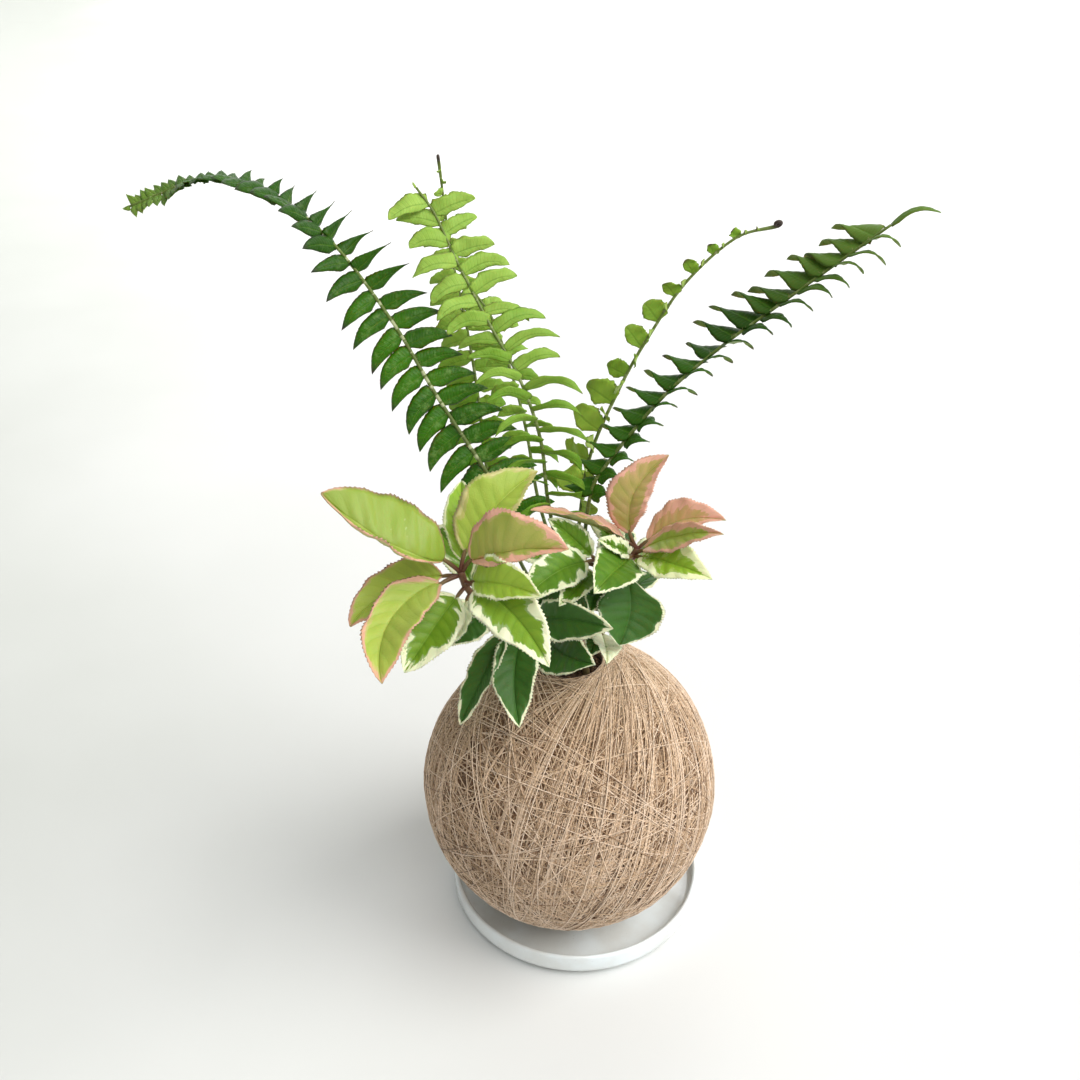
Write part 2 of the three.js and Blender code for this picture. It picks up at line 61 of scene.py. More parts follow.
def unit(vectors):
    return vectors / np.linalg.norm(vectors, axis=-1, keepdims=True)


def squareTo(vectors, axis):  # the vectors without their share along axis, at unit length
    return unit(vectors - dot(vectors, axis) * axis)


def turned(vectors, axis, angle):  # turned about a unit axis that is square to them
    return vectors * np.cos(angle) + np.cross(axis, vectors) * np.sin(angle)


def spokes(sides, aside, up):  # directions evenly round a circle from aside towards up, on a new axis
    turn = 2 * np.pi * np.arange(sides) / sides
    return np.cos(turn)[:, None] * aside[..., None, :] + np.sin(turn)[:, None] * up[..., None, :]


def smoothStep(values):  # x squared times 3 - 2x, from 0 below 0 to 1 above 1
    values = np.clip(values, 0, 1)
    return values * values * (3 - 2 * values)


def along(stops, places):  # straight between stops, {place: value}; a value is a number or a vector
    at, values = list(stops), np.array(list(stops.values()), float)
    if values.ndim == 1:
        return np.interp(places, at, values)
    return np.stack([np.interp(places, at, column) for column in values.T], -1)


def smoothPath(route, places):
    # A Catmull-Rom curve through the route's points: its points and directions at shares of its length.
    route = np.array(route, float)
    ends = np.vstack([2 * route[0] - route[1], route, 2 * route[-1] - route[-2]])
    t = np.linspace(0, len(route) - 1, 1500)
    k = np.minimum(t.astype(int), len(route) - 2)
    s = (t - k)[:, None]
    a, b, c, d = ends[k], ends[k + 1], ends[k + 2], ends[k + 3]
    curve = (2 * a - 5 * b + 4 * c - d) * s**2 + (3 * b - a - 3 * c + d) * s**3
    points = 0.5 * (2 * b + (c - a) * s + curve)
    steps = np.linalg.norm(np.diff(points, axis=0), axis=1)
    run = np.concatenate([[0], np.cumsum(steps)])
    share = run / run[-1]
    heading = np.gradient(points, axis=0)
    at, towards = [np.stack([np.interp(places, share, row) for row in rows.T], -1)
                   for rows in (points, heading)]
    return at, unit(towards)


# Meshes


def gridFaces(rows, cols, joinRows=False, joinCols=False):
    # quads between neighbouring rows and columns of a grid; a join closes it round
    r = np.arange(rows if joinRows else rows - 1)[:, None]
    c = np.arange(cols if joinCols else cols - 1)[None, :]
    below, beside = (r + 1) % rows, (c + 1) % cols
    corners = [r * cols + c, r * cols + beside, below * cols + beside, below * cols + c]
    return np.stack(np.broadcast_arrays(*corners), -1).reshape(-1, 4)


def copyFaces(faces, copies, size):  # the same faces for each of several bodies of size points
    return (faces[None] + size * np.arange(copies)[:, None, None]).reshape(-1, faces.shape[1])


class Skin:
    # Collects bodies of points and faces, with named values for each point, to be made into one piece.
    def __init__(self, *names):
        self.points, self.count = [], 0
        self.faces, self.kinds = {3: [], 4: []}, {3: [], 4: []}
        self.values = {name: [] for name in names}

    def add(self, points, faces, kind=0, **values):
        points = points.reshape(-1, 3)
        for each in faces:
            corners = each.shape[1]
            self.faces[corners].append(each + self.count)
            self.kinds[corners].append(np.full(len(each), kind))
        for name, store in self.values.items():
            store.append(np.broadcast_to(np.ravel(values.get(name, 0.0)), len(points)))
        self.points.append(points)
        self.count += len(points)

    def addRings(self, rings, ends, kind=0, **values):
        # Rings of points joined in their order, and a fan from the first and the last ring to the two end
        # points. Every value has one number for each ring.
        rows, sides = rings.shape[:2]
        ring, last = np.arange(sides), (rows - 1) * sides
        after = (ring + 1) % sides
        start = np.stack([after, ring, np.full(sides, rows * sides)], -1)
        end = np.stack([last + ring, last + after, np.full(sides, rows * sides + 1)], -1)
        spread = {}
        for name, value in values.items():
            each = np.broadcast_to(value, rows)
            spread[name] = np.concatenate([np.repeat(each, sides), each[:1], each[-1:]])
        points = np.concatenate([rings.reshape(-1, 3), ends])
        self.add(points, [gridFaces(rows, sides, joinCols=True), start, end], kind, **spread)

    def addTube(self, centres, headings, up, radii, sides=8, kind=0, **values):
        # rings round a path: centre + radius (cos a . aside + sin a . over)
        over = squareTo(np.broadcast_to(up, centres.shape), headings)
        spoke = spokes(sides, np.cross(over, headings), over)
        rings = centres[:, None] + np.reshape(radii, (-1, 1, 1)) * spoke
        self.addRings(rings, centres[[0, -1]], kind, **values)

    def addNeedles(self, roots, towards, lengths, thickness, kind=0, **values):
        # three-sided spikes: three points round each root and one at the tip
        up = squareTo(np.broadcast_to([0.31, 0.17, 0.94], roots.shape), towards)
        base = roots[:, None] + thickness * spokes(3, np.cross(up, towards), up)
        tip = (roots + towards * lengths[:, None])[:, None]
        sides = np.array([[0, 1, 3], [1, 2, 3], [2, 0, 3], [2, 1, 0]])
        spread = {name: np.repeat(np.broadcast_to(each, len(roots)), 4) for name, each in values.items()}
        self.add(np.concatenate([base, tip], 1), [copyFaces(sides, len(roots), 4)], kind, **spread)

    def addBlades(self, middle, normal, thickness, kind=0, **values):
        # Closed blades from grids of their middle surface, (blades, rows, columns, 3): an upper face and an
        # under face, half the thickness each way along the normal, which meet in a sharp rim.
        blades, rows, cols = size = middle.shape[:3]
        upper = np.arange(rows * cols).reshape(rows, cols)
        inner = np.zeros((rows, cols), bool)
        inner[1:-1, 1:-1] = True
        under = upper.copy()
        under[inner] = rows * cols + np.arange(inner.sum())
        quads = [np.stack([side[:-1, :-1], side[:-1, 1:], side[1:, 1:], side[1:, :-1]], -1).reshape(-1, 4)
                 for side in (upper, under)]
        lift = np.where(inner, 0.5, 0)[..., None] * thickness * normal

        def both(top, low):
            top, low = [np.broadcast_to(each, size + np.shape(each)[3:]) for each in (top, low)]
            return np.concatenate([top.reshape((blades, -1) + top.shape[3:]), low[:, inner]], 1)

        points = both(middle + lift, middle - lift)
        spread = {name: both(each, each) for name, each in values.items()}
        spread["face"] = both(np.where(inner, 1, 0.5)[None], np.zeros((1, rows, cols)))
        faces = copyFaces(np.concatenate([quads[0], quads[1][:, ::-1]]), blades, points.shape[1])
        self.add(points, [faces], kind, **spread)

    def make(self, name, materials, node):
        # the piece itself: a mesh in metres that rides on the body and stands for a CAD node
        mesh = bpy.data.meshes.new(name)
        mesh.vertices.add(self.count)
        mesh.vertices.foreach_set("co", np.concatenate(self.points).ravel() * mm)
        faces = [np.concatenate(self.faces[n] + [np.empty((0, n), int)]) for n in (3, 4)]
        triangles, quads = [len(each) for each in faces]
        corners = np.concatenate([each.ravel() for each in faces])
        mesh.loops.add(len(corners))
        mesh.loops.foreach_set("vertex_index", corners)
        starts = np.concatenate([3 * np.arange(triangles), 3 * triangles + 4 * np.arange(quads)])
        mesh.polygons.add(len(starts))
        mesh.polygons.foreach_set("loop_start", starts)
        mesh.polygons.foreach_set("material_index", np.concatenate(self.kinds[3] + self.kinds[4]))
        mesh.polygons.foreach_set("use_smooth", np.ones(len(starts), bool))
        mesh.update(calc_edges=True)
        for key, values in self.values.items():
            mesh.attributes.new(key, "FLOAT", "POINT").data.foreach_set("value", np.concatenate(values))
        for material in materials:
            mesh.materials.append(material)
        piece = bpy.data.objects.new(name, mesh)
        bpy.context.scene.collection.objects.link(piece)
        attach(piece, "root")
        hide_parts(node)
        print(name, "has", triangles + 2 * quads, "triangles")


# Shader tools


def tint(code):  # a colour such as #a9c24a as linear red, green, blue and alpha
    parts = [int(code[k:k + 2], 16) / 255 for k in (1, 3, 5)]
    return [part / 12.92 if part < 0.04045 else ((part + 0.055) / 1.055) ** 2.4 for part in parts] + [1]


def operator(operation, swapped=False):  # a method that adds one Math node
    def method(self, other):
        return self.math(operation, *((other, self) if swapped else (self, other)))
    return method


class Value:
    # a socket that Python's arithmetic works on
    __add__ = __radd__ = operator("ADD")
    __sub__, __rsub__ = operator("SUBTRACT"), operator("SUBTRACT", swapped=True)
    __mul__ = __rmul__ = operator("MULTIPLY")
    __truediv__, __pow__ = operator("DIVIDE"), operator("POWER")
    least, most = operator("MINIMUM"), operator("MAXIMUM")

    def __init__(self, shade, socket):
        self.shade, self.socket = shade, socket

    def math(self, operation, *operands):
        return self.shade.add("ShaderNodeMath", {"operation": operation}, dict(enumerate(operands)))

    def __abs__(self):
        return self.math("ABSOLUTE", self)

    def sine(self):
        return self.math("SINE", self)

    def fraction(self):
        return self.math("FRACT", self)

    def between(self, low, high):  # 0 below low and 1 above high, smooth between; high may be the lower
        settings = {"interpolation_type": "SMOOTHSTEP"}
        return self.shade.add("ShaderNodeMapRange", settings, {0: self, 1: low, 2: high})


class Shade:
    # a material under construction
    def __init__(self, name, **constants):
        self.material = bpy.data.materials.new(name)
        self.material.use_nodes = True
        self.tree = self.material.node_tree
        self.surface = self.tree.nodes["Principled BSDF"]
        self.feed(**constants)

    def add(self, kind, settings=None, sockets=None, output=0):
        node = self.tree.nodes.new(kind)
        for key, setting in (settings or {}).items():
            if key == "stops":
                ramp = node.color_ramp.elements
                for k, (place, code) in enumerate(setting):
                    stop = ramp[k] if k < 2 else ramp.new(place)
                    stop.position, stop.color = place, tint(code)
            else:
                setattr(node, key, setting)
        for key, value in (sockets or {}).items():
            self.plug(value, node.inputs[key])
        return Value(self, node.outputs[output])

    def plug(self, value, socket):
        if isinstance(value, Value):
            self.tree.links.new(value.socket, socket)
        else:
            socket.default_value = tint(value) if isinstance(value, str) else value

    def feed(self, **sockets):  # baseColor="..." sets or links the surface's Base Color
        for key, value in sockets.items():
            name = "".join(" " + letter if letter.isupper() else letter for letter in key).title()
            self.plug(value, self.surface.inputs[name.replace("Ior", "IOR")])

    def value(self, name):
        return self.add("ShaderNodeAttribute", {"attribute_name": name}, output=2)

    def place(self):
        return self.add("ShaderNodeTexCoord", output=3)

    def vector(self, x, y, z=0.0):
        return self.add("ShaderNodeCombineXYZ", sockets={0: x, 1: y, 2: z})

    def parts(self, vector):  # its x, y and z
        split = self.add("ShaderNodeSeparateXYZ", sockets={"Vector": vector})
        return [Value(self, socket) for socket in split.socket.node.outputs]

    def noise(self, scale, vector=None, detail=3.0, roughness=0.5):
        sockets = {"Vector": vector or self.place(), "Scale": scale, "Detail": detail, "Roughness": roughness}
        return self.add("ShaderNodeTexNoise", sockets=sockets)

    def cells(self, scale, vector=None, feature="DISTANCE_TO_EDGE"):
        settings = {"feature": feature}
        return self.add("ShaderNodeTexVoronoi", settings, {"Vector": vector or self.place(), "Scale": scale})

    def mix(self, share, a, b, blend="MIX"):
        settings = {"data_type": "RGBA", "blend_type": blend, "clamp_factor": True}
        return self.add("ShaderNodeMix", settings, {0: share, 6: a, 7: b}, 2)

    def ramp(self, share, *stops):
        return self.add("ShaderNodeValToRGB", {"stops": stops}, {0: share})

    def bump(self, height, distance, strength=1.0):  # the distance is in millimetres
        sockets = {"Strength": strength, "Distance": distance * mm, "Height": height}
        self.feed(normal=self.add("ShaderNodeBump", sockets=sockets))


# Camera, light and floor

view = {"place": (-0.0172, -0.4085, 0.4517), "down": 32.2, "lens": 40}
light = {
    "sky": "#f8f8f6", "skyStrength": 0.4, "floor": "#e3e4e3", "shaded": "#c6c9c4",
    # the sun-like key from the right: direction it comes from, strength, softness in degrees
    "key": [(0.9, -0.12, 0.85), 2.5, 46, "#fffdfa"],
    # each lamp: place, what it faces, size, watts, colour. The last lights only what is far behind.
    "lamps": [
        [(0.3, -0.75, 1.35), (0, 0, 0.05), 0.8, 8.0, "#ffffff"],
        [(0.4, -1.3, 0.4), (0, 0, 0.03), 0.9, 0.6, "#ffffff"],
        [(0.0, 2.0, 2.0), (-0.5, 3.4, 0), 2.4, 60, "#ffffff"],
    ],
}
sheet = {"side": 6, "front": -4, "back": 2.5, "curve": 1.5, "top": 6}  # in metres, as the light is


def aim(thing, place, target):  # turned so that its -Z points from place to target
    x, y, z = np.subtract(target, place)
    thing.location = place
    thing.rotation_euler = (math.atan2(math.hypot(x, y), -z), 0, math.atan2(-x, y))



def setStudio():
    scene = bpy.context.scene
    camera = bpy.data.objects.new("camera", bpy.data.cameras.new("camera"))
    camera.location = view["place"]
    camera.rotation_euler = (math.radians(90 - view["down"]), 0, 0)
    camera.data.lens = view["lens"]
    scene.collection.objects.link(camera)
    scene.camera = camera
    scene.view_settings.view_transform = "Standard"
    world = bpy.data.worlds.new("sky")
    world.use_nodes = True
    world.node_tree.nodes["Background"].inputs[0].default_value = tint(light["sky"])
    world.node_tree.nodes["Background"].inputs[1].default_value = light["skyStrength"]
    scene.world = world
    source, strength, softness, colour = light["key"]
    key = bpy.data.objects.new("key", bpy.data.lights.new("key", "SUN"))
    key.data.energy, key.data.angle, key.data.color = strength, math.radians(softness), tint(colour)[:3]
    aim(key, source, (0, 0, 0))
    scene.collection.objects.link(key)
    for k, (place, target, size, watts, colour) in enumerate(light["lamps"]):
        lamp = bpy.data.objects.new(f"lamp{k}", bpy.data.lights.new(f"lamp{k}", "AREA"))
        lamp.data.size, lamp.data.energy, lamp.data.color = size, watts, tint(colour)[:3]
        aim(lamp, place, target)
        scene.collection.objects.link(lamp)
    # one wide sheet that curves up far behind the plant: its height is a quarter circle, then a wall
    back, curve = sheet["back"], sheet["curve"]
    sweep = np.linspace(0, np.pi / 2, 13)[1:]
    x = np.linspace(-sheet["side"], sheet["side"], 3)
    y = np.concatenate([[sheet["front"], back], back + curve * np.sin(sweep), [back + curve]])
    z = np.concatenate([[0, 0], curve - curve * np.cos(sweep), [sheet["top"]]])
    points = np.stack(np.broadcast_arrays(x[None], y[:, None], z[:, None]), -1).reshape(-1, 3)
    mesh = bpy.data.meshes.new("floor")
    mesh.from_pydata(points.tolist(), [], gridFaces(len(y), len(x)).tolist())
    paper = Shade("floorPaper", roughness=0.7, specularIorLevel=0.2)
    x, y, _ = paper.parts(paper.place())
    # the paper turns to the shaded colour towards the left and the front: painted shade, the key light's
    # falloff across the floor
    away = (x * -1 + y * -0.25 + paper.noise(3.5, detail=3) * 0.35).between(0.12, 0.68)
    paper.feed(baseColor=paper.mix(away, light["floor"], light["shaded"]))
    mesh.materials.append(paper.material)
    floor = bpy.data.objects.new("floor", mesh)
    scene.collection.objects.link(floor)
    print("studio is set")


setStudio()


# Saucer

dish = {
    "radius": 58.5, "height": nodeTop("saucer"), "floor": 4.0, "wall": 2.3, "footRadius": 54.0,
    "footWidth": 6.0, "footDepth": 1.4, "footSlant": 1.2, "footEdge": 0.5, "edge": 0.6, "bellyHeight": 6.2,
    "belly": 5.2, "well": 2.8, "sag": 0.02, "bareBelow": 0.35, "segments": 144,
    "glaze": "#dfe3e1", "pooled": "#eef7fa", "clay": "#d8d2c6", "speck": "#8d8a84",
}


def arc(centre, radius, start, end, steps):  # points of a circle's part, angles in degrees
    turn = np.radians(np.linspace(start, end, steps))
    return np.stack([centre[0] + radius * np.cos(turn), centre[1] + radius * np.sin(turn)], -1)


def lathe(outline, segments):  # a grid: each row is one point of the outline, taken once round the axis
    turn = 2 * np.pi * np.arange(segments) / segments
    spin = np.stack([np.cos(turn), np.sin(turn)], -1)
    flat = outline[:, None, :1] * spin[None]
    return np.concatenate([flat, np.broadcast_to(outline[:, None, 1:], flat.shape[:2] + (1,))], -1)


def makeSaucer():
    # the outline from the middle of the underside, out over the foot ring and the rim, and back to the middle
    radius, wall, floor, foot = dish["radius"], dish["wall"], dish["floor"], dish["footRadius"]
    depth, slant, edge, footEdge = dish["footDepth"], dish["footSlant"], dish["edge"], dish["footEdge"]
    belly, well = dish["belly"], dish["well"]
    inner = radius - wall
    rim = wall / 2
    recess = foot - dish["footWidth"]
    outline = np.concatenate([
        [[0, depth], [recess * 0.5, depth]],
        arc((recess - 2 * edge, depth - edge), edge, 90, 0, 4) + [edge, 0],
        arc((recess + slant, footEdge), footEdge, 180, 270, 4),
        arc((foot - edge, edge), edge, 270, 330, 4),
        arc((radius - belly, dish["bellyHeight"]), belly, -62, -4, 9),
        arc((radius - rim, dish["height"] - rim), rim, 4, 176, 11),
        arc((inner - well, floor + well), well - 0.05, 0, -88, 9),
        [[inner * 0.75, floor - dish["sag"]], [inner * 0.4, floor], [0, floor]],
    ])
    rings = lathe(outline, dish["segments"])
    skin = Skin("glazed")
    glazed = np.where(outline[1:-1, 1] < dish["bareBelow"], 0.0, 1.0)
    skin.addRings(rings[1:-1], rings[[0, -1], 0], glazed=glazed)

    glaze = Shade("saucerGlaze", coatWeight=0.6, coatRoughness=0.06, specularIorLevel=0.55)
    bare = glaze.value("glazed").between(0.6, 0.4)
    pool = glaze.noise(45, detail=4)
    specked = glaze.noise(170, detail=0).between(0.55, 0.68)
    speck = glaze.cells(620, feature="F1").between(0.13, 0.06) * specked
    colour = glaze.mix(pool.between(0.35, 0.7), dish["glaze"], dish["pooled"])
    colour = glaze.mix(speck * 0.75, colour, dish["speck"])
    glaze.feed(baseColor=glaze.mix(bare, colour, dish["clay"]), roughness=0.16 + bare * 0.6 + pool * 0.08)
    glaze.bump(glaze.noise(26, detail=2) * 0.5 + glaze.noise(420, detail=1) * 0.03, 0.25)
    skin.make("saucerDish", [glaze.material], "saucer")


makeSaucer()


# Ball: soil in a wrap of wound thread

ball = {
    "radius": 65.0, "middle": np.array([-3.8, -4.6, 68.526]), "wrap": 2.6, "gap": 0.3,
    "mouthRadius": 13.0, "mouthLean": 7.0,
    # where the winding swells past the sphere, and by how much
    "swells": [[(-0.75, -0.2, 0.6), 1.6], [(0.45, 0.3, 0.84), 2.2]],
}
mouthLean = math.radians(ball["mouthLean"])
mouthAxis = np.array([0, math.sin(mouthLean), math.cos(mouthLean)])


def woundReach(towards):  # radius + the sum of by . max(0, cosine to a swell) to the sixth
    reach = np.full(towards.shape[:-1] + (1,), ball["radius"])
    for swell, by in ball["swells"]:
        reach = reach + by * np.maximum(0, towards @ unit(np.array(swell)))[..., None] ** 6
    return reach


def rumple(points, size, octaves=4):
    # cheap smooth noise, about -1 to 1: sines along random directions, each octave finer and weaker
    total = np.zeros(points.shape[:-1])
    for octave in range(octaves):
        for _ in range(3):
            wave = unit(chance.normal(size=3)) * 2 * np.pi / size * 1.9**octave
            total += np.sin(points @ wave + chance.uniform(0, 7)) / (3 * 1.6**octave)
    return total


def aboutMouth(polar, turn):  # directions at polar angles from the mouth's axis
    aside = np.array([1.0, 0, 0])
    ahead = np.cross(mouthAxis, aside)
    across = np.cos(turn)[..., None] * aside + np.sin(turn)[..., None] * ahead
    return np.cos(polar)[..., None] * mouthAxis + np.sin(polar)[..., None] * across


soil = {
    "top": nodeTop("root_ball"), "meridians": 110, "ballRings": 13, "mouthRings": 26, "sunk": 0.5,
    "bump": 0.9, "bumpSize": 5.0, "crumbs": 420, "crumbSize": (0.35, 1.15), "crumbDents": (0.65, 1.1),
    "crumbStretch": (0.6, 1.3), "crumbLift": 0.25, "fibres": 90, "fibrePoints": 7, "fibreLength": (3, 9),
    "fibreArch": (0.3, 1.6), "fibreKink": 0.3, "fibreRadii": (0.16, 0.06),
    "dark": "#24160d", "mid": "#3d2817", "pale": "#6b4e33", "fibre": "#7b5a3a",
}


def dome(centre, out):  # how far the mound rises over the middle of its rim: its rise . (1 - out^3)
    return (soil["top"] - soil["sunk"] - centre[2]) * (1 - out**3)


def addMound(skin):  # the ball of soil and its bumpy dome in the mouth; returns the middle of the dome's rim
    radius = ball["radius"] - ball["wrap"] - ball["gap"]
    edge = math.asin((ball["mouthRadius"] - ball["gap"]) / radius)
    turn = 2 * np.pi * np.arange(soil["meridians"]) / soil["meridians"]
    polar = np.linspace(math.pi, edge, soil["ballRings"] + 1)[1:, None]
    sphere = ball["middle"] + radius * aboutMouth(polar, turn[None])
    rim, centre = sphere[-1], sphere[-1].mean(0)
    inward = np.linspace(0, 1, soil["mouthRings"])[1:-1, None, None]
    mound = rim + (centre - rim) * inward
    inward = inward[..., 0]
    mound[..., 2] += dome(centre, 1 - inward)
    mound[..., 2] += soil["bump"] * rumple(mound, soil["bumpSize"]) * np.minimum(1, 5 * inward)
    foot = ball["middle"] - radius * mouthAxis
    skin.addRings(np.concatenate([sphere, mound]), [foot, mound[-1].mean(0)], tone=0.3)
    return centre


def lump():  # the corners and the triangles of a regular solid with twenty sides
    golden = (1 + 5**0.5) / 2
    corner = unit(np.array([[0, s, t * golden] for s in (-1, 1) for t in (-1, 1)]))
    corner = np.concatenate([np.roll(corner, k, axis=1) for k in range(3)])
    near = np.linalg.norm(corner[:, None] - corner[None], axis=2) < 1.1
    facets = np.argwhere(near[:, :, None] & near[:, None] & near[None])
    facets = facets[(np.diff(facets, axis=1) > 0).all(1)]
    outward = np.linalg.det(corner[facets]) > 0
    return corner, np.where(outward[:, None], facets, facets[:, ::-1])


def addCrumbs(skin, centre):  # lumps, each scaled, dented and stretched, lying on the mound
    corner, facets = lump()
    count, corners, mouth = soil["crumbs"], len(corner), ball["mouthRadius"]
    out = np.sqrt(chance.uniform(0, 1, count)) * (mouth - 1.2)
    spin = chance.uniform(0, 2 * np.pi, count)
    size = chance.uniform(*soil["crumbSize"], (count, 1, 1))
    crumb = corner[None] * size * chance.uniform(*soil["crumbDents"], (count, corners, 1))
    crumb = crumb * chance.uniform(*soil["crumbStretch"], (count, 1, 3))
    slope = (out * np.sin(spin)) * -math.tan(mouthLean) * (out / mouth) ** 3
    height = centre[2] + dome(centre, out / mouth) + slope + soil["crumbLift"]
    rest = np.stack([centre[0] + out * np.cos(spin), centre[1] + out * np.sin(spin), height], -1)
    tone = np.repeat(chance.uniform(0, 1, count), corners)
    skin.add(rest[:, None] + crumb, [copyFaces(facets, count, corners)], tone=tone)


def addFibres(skin, centre):  # thin rootlets that arch over the soil by a half sine
    points = soil["fibrePoints"]
    radii = np.linspace(*soil["fibreRadii"], points)
    step = np.linspace(0, 1, points)[:, None]
    for _ in range(soil["fibres"]):
        out, spin, heading = chance.uniform(1, 11), chance.uniform(0, 7), chance.uniform(0, 7)
        start = centre[:2] + [out * math.cos(spin), out * math.sin(spin)]
        length = chance.uniform(*soil["fibreLength"])
        run = np.append(start, soil["top"] - 0.7) + length * step * [math.cos(heading), math.sin(heading), 0]
        run[:, 2] += chance.uniform(*soil["fibreArch"]) * np.sin(np.pi * step[:, 0])
        run += soil["fibreKink"] * chance.normal(size=(points, 3))
        heading = unit(np.gradient(run, axis=0))
        skin.addTube(run, heading, (0.1, 0.1, 1), radii, 4, 1, tone=chance.uniform(0, 1))


def makeSoil():
    skin = Skin("tone")
    centre = addMound(skin)
    addCrumbs(skin, centre)
    addFibres(skin, centre)

    earth = Shade("dampSoil", specularIorLevel=0.35)
    grain = earth.noise(900, detail=5, roughness=0.65)
    tone = earth.value("tone") * 0.7 + grain * 0.6 - 0.15
    earth.feed(baseColor=earth.ramp(tone, (0.1, soil["dark"]), (0.5, soil["mid"]), (0.95, soil["pale"])),
               roughness=0.95 - grain * 0.2)
    earth.bump(grain, 0.5)
    rootlet = Shade("rootFibre", roughness=0.8)
    shadeOf = rootlet.value("tone") * 0.6 + rootlet.noise(500) * 0.4
    rootlet.feed(baseColor=rootlet.mix(shadeOf, soil["mid"], soil["fibre"]))
    skin.make("soilMound", [earth.material, rootlet.material], "root_ball")


makeSoil()

thread = {
    # each layer: turns, level over the sphere, its spread, the thread's radius, the share of turns through
    # the pole, the points on each turn, and how far the layer's tone is lowered as painted shade under the
    # layers over it (raised as painted light where it is below zero)
    "layers": {
        "threadUnder": [520, -0.85, 0.2, 0.27, 0.3, 46, 0.66],
        "threadOver": [560, -0.3, 0.35, 0.24, 0.44, 54, 0.05],
        "threadLoose": [60, 0.15, 0.2, 0.22, 0.75, 60, -0.15],
    },
    # the share of the other turns that pass through the knot, and how far turns miss, in degrees
    "pole": (15, 22, 57), "poleMiss": 3.2, "knot": (-0.03, -1.0, 0.04), "knotShare": 0.5, "knotMiss": 22,
    # how turns keep off the mouth and roll in round it, and how they wander up and down
    "mouthGap": 0.6, "aside": (1.0, 1.35), "offCentre": 1.5, "crowding": 0.45, "roll": 1.1, "rollWidth": 0.05,
    "wander": 0.16, "toneSpread": 0.22,
    "strays": 260, "strayLength": (2.5, 7.0), "strayBend": (0.1, 0.5), "strayLean": 0.5, "strayRadius": 0.06,
    # the last two colours are the bed's: painted shade deep in the gaps between the turns, and a lighter
    # brown for it near the top of the ball, as painted light
    "pale": "#f9e1c8", "tan": "#dabb98", "dark": "#745030", "gap": "#3b2818", "bedPaintedLight": "#8c6a48",
}
bed = {
    "depth": 1.15, "lump": 0.16, "lumpSize": 7, "mouthGap": 0.4, "roll": 0.8, "rollWidth": 0.06,
    "meridians": 120, "outerRings": 59, "innerRings": 23, "foot": 0.5, "footWall": 0.7,
}


def turnNormals(axis, count, miss):  # normals of circles that pass within about miss degrees of an axis
    spin = chance.uniform(0, 2 * np.pi, count)
    first = squareTo(np.array([0.3, 0.9, 0.2]), axis)
    flat = np.cos(spin)[:, None] * first + np.sin(spin)[:, None] * np.cross(axis, first)
    tilt = np.radians(chance.normal(0, miss, (count, 1)))
    return unit(np.cos(tilt) * flat + np.sin(tilt) * axis)


def threadTurns(turns, level, spread, radius, poleShare, steps, paintedLayerShade):
    # Each turn is a circle on the ball, cos(shift)(cos f . a + sin f . b) + sin(shift) . normal, moved aside
    # where it would cross the mouth. Its points crowd together where it passes the mouth.
    poled = int(turns * poleShare)
    knotted = int((turns - poled) * thread["knotShare"])
    normal = np.concatenate([
        turnNormals(unit(np.array(thread["pole"], float)), poled, thread["poleMiss"]),
        turnNormals(unit(np.array(thread["knot"])), knotted, thread["knotMiss"]),
        unit(chance.normal(size=(turns - poled - knotted, 3))),
    ])
    clear = math.asin((ball["mouthRadius"] + thread["mouthGap"]) / ball["radius"])
    past = np.arcsin(dot(normal, mouthAxis))
    shift = np.radians(chance.normal(0, thread["offCentre"], (turns, 1)))
    side = np.where(past - shift > 0, 1, -1)
    beside = past - side * clear * chance.uniform(*thread["aside"], (turns, 1))
    shift = np.where(np.abs(past - shift) < clear, beside, shift)
    a = squareTo(np.broadcast_to(mouthAxis, normal.shape), normal)[:, None]
    b = np.cross(normal, a[:, 0])[:, None]
    t = 2 * np.pi * np.arange(steps) / steps
    f = (t - thread["crowding"] * np.sin(t))[None, :, None]
    shift, normal = shift[:, None], normal[:, None]
    towards = np.cos(shift) * (np.cos(f) * a + np.sin(f) * b) + np.sin(shift) * normal
    heading = unit(-np.sin(f) * a + np.cos(f) * b)
    height = level + spread * chance.uniform(-1, 1, (turns, 1, 1))
    waves, phase = chance.integers(2, 7, (turns, 1, 1)), chance.uniform(0, 7, (turns, 1, 1))
    height = height + thread["wander"] * np.sin(f * waves + phase)
    polar = np.arccos(np.clip(towards @ mouthAxis, -1, 1))
    roll = np.exp(-(((polar - clear) / thread["rollWidth"]) ** 2))[..., None]
    line = ball["middle"] + towards * (woundReach(towards) + height - thread["roll"] * roll)
    line[..., 2] = np.maximum(line[..., 2], dish["floor"] + ball["gap"] + radius + 0.1)
    over = np.cross(towards, heading)
    points = line[..., None, :] + radius * spokes(3, over, towards)
    faces = copyFaces(gridFaces(steps, 3, joinRows=True, joinCols=True), turns, steps * 3)
    run = np.broadcast_to(f * ball["radius"], (turns, steps, 3))
    # each turn's tone is random, lowered by the layer's painted shade (raised, as painted light, for the
    # loose outer layer)
    tone = np.clip(chance.normal(0.5, thread["toneSpread"], (turns, 1, 1)) - paintedLayerShade, 0, 1)
    ply = np.broadcast_to(2 * np.pi * np.arange(3) / 3, run.shape)
    return points, faces, {"tone": np.broadcast_to(tone, run.shape), "run": run, "ply": ply}


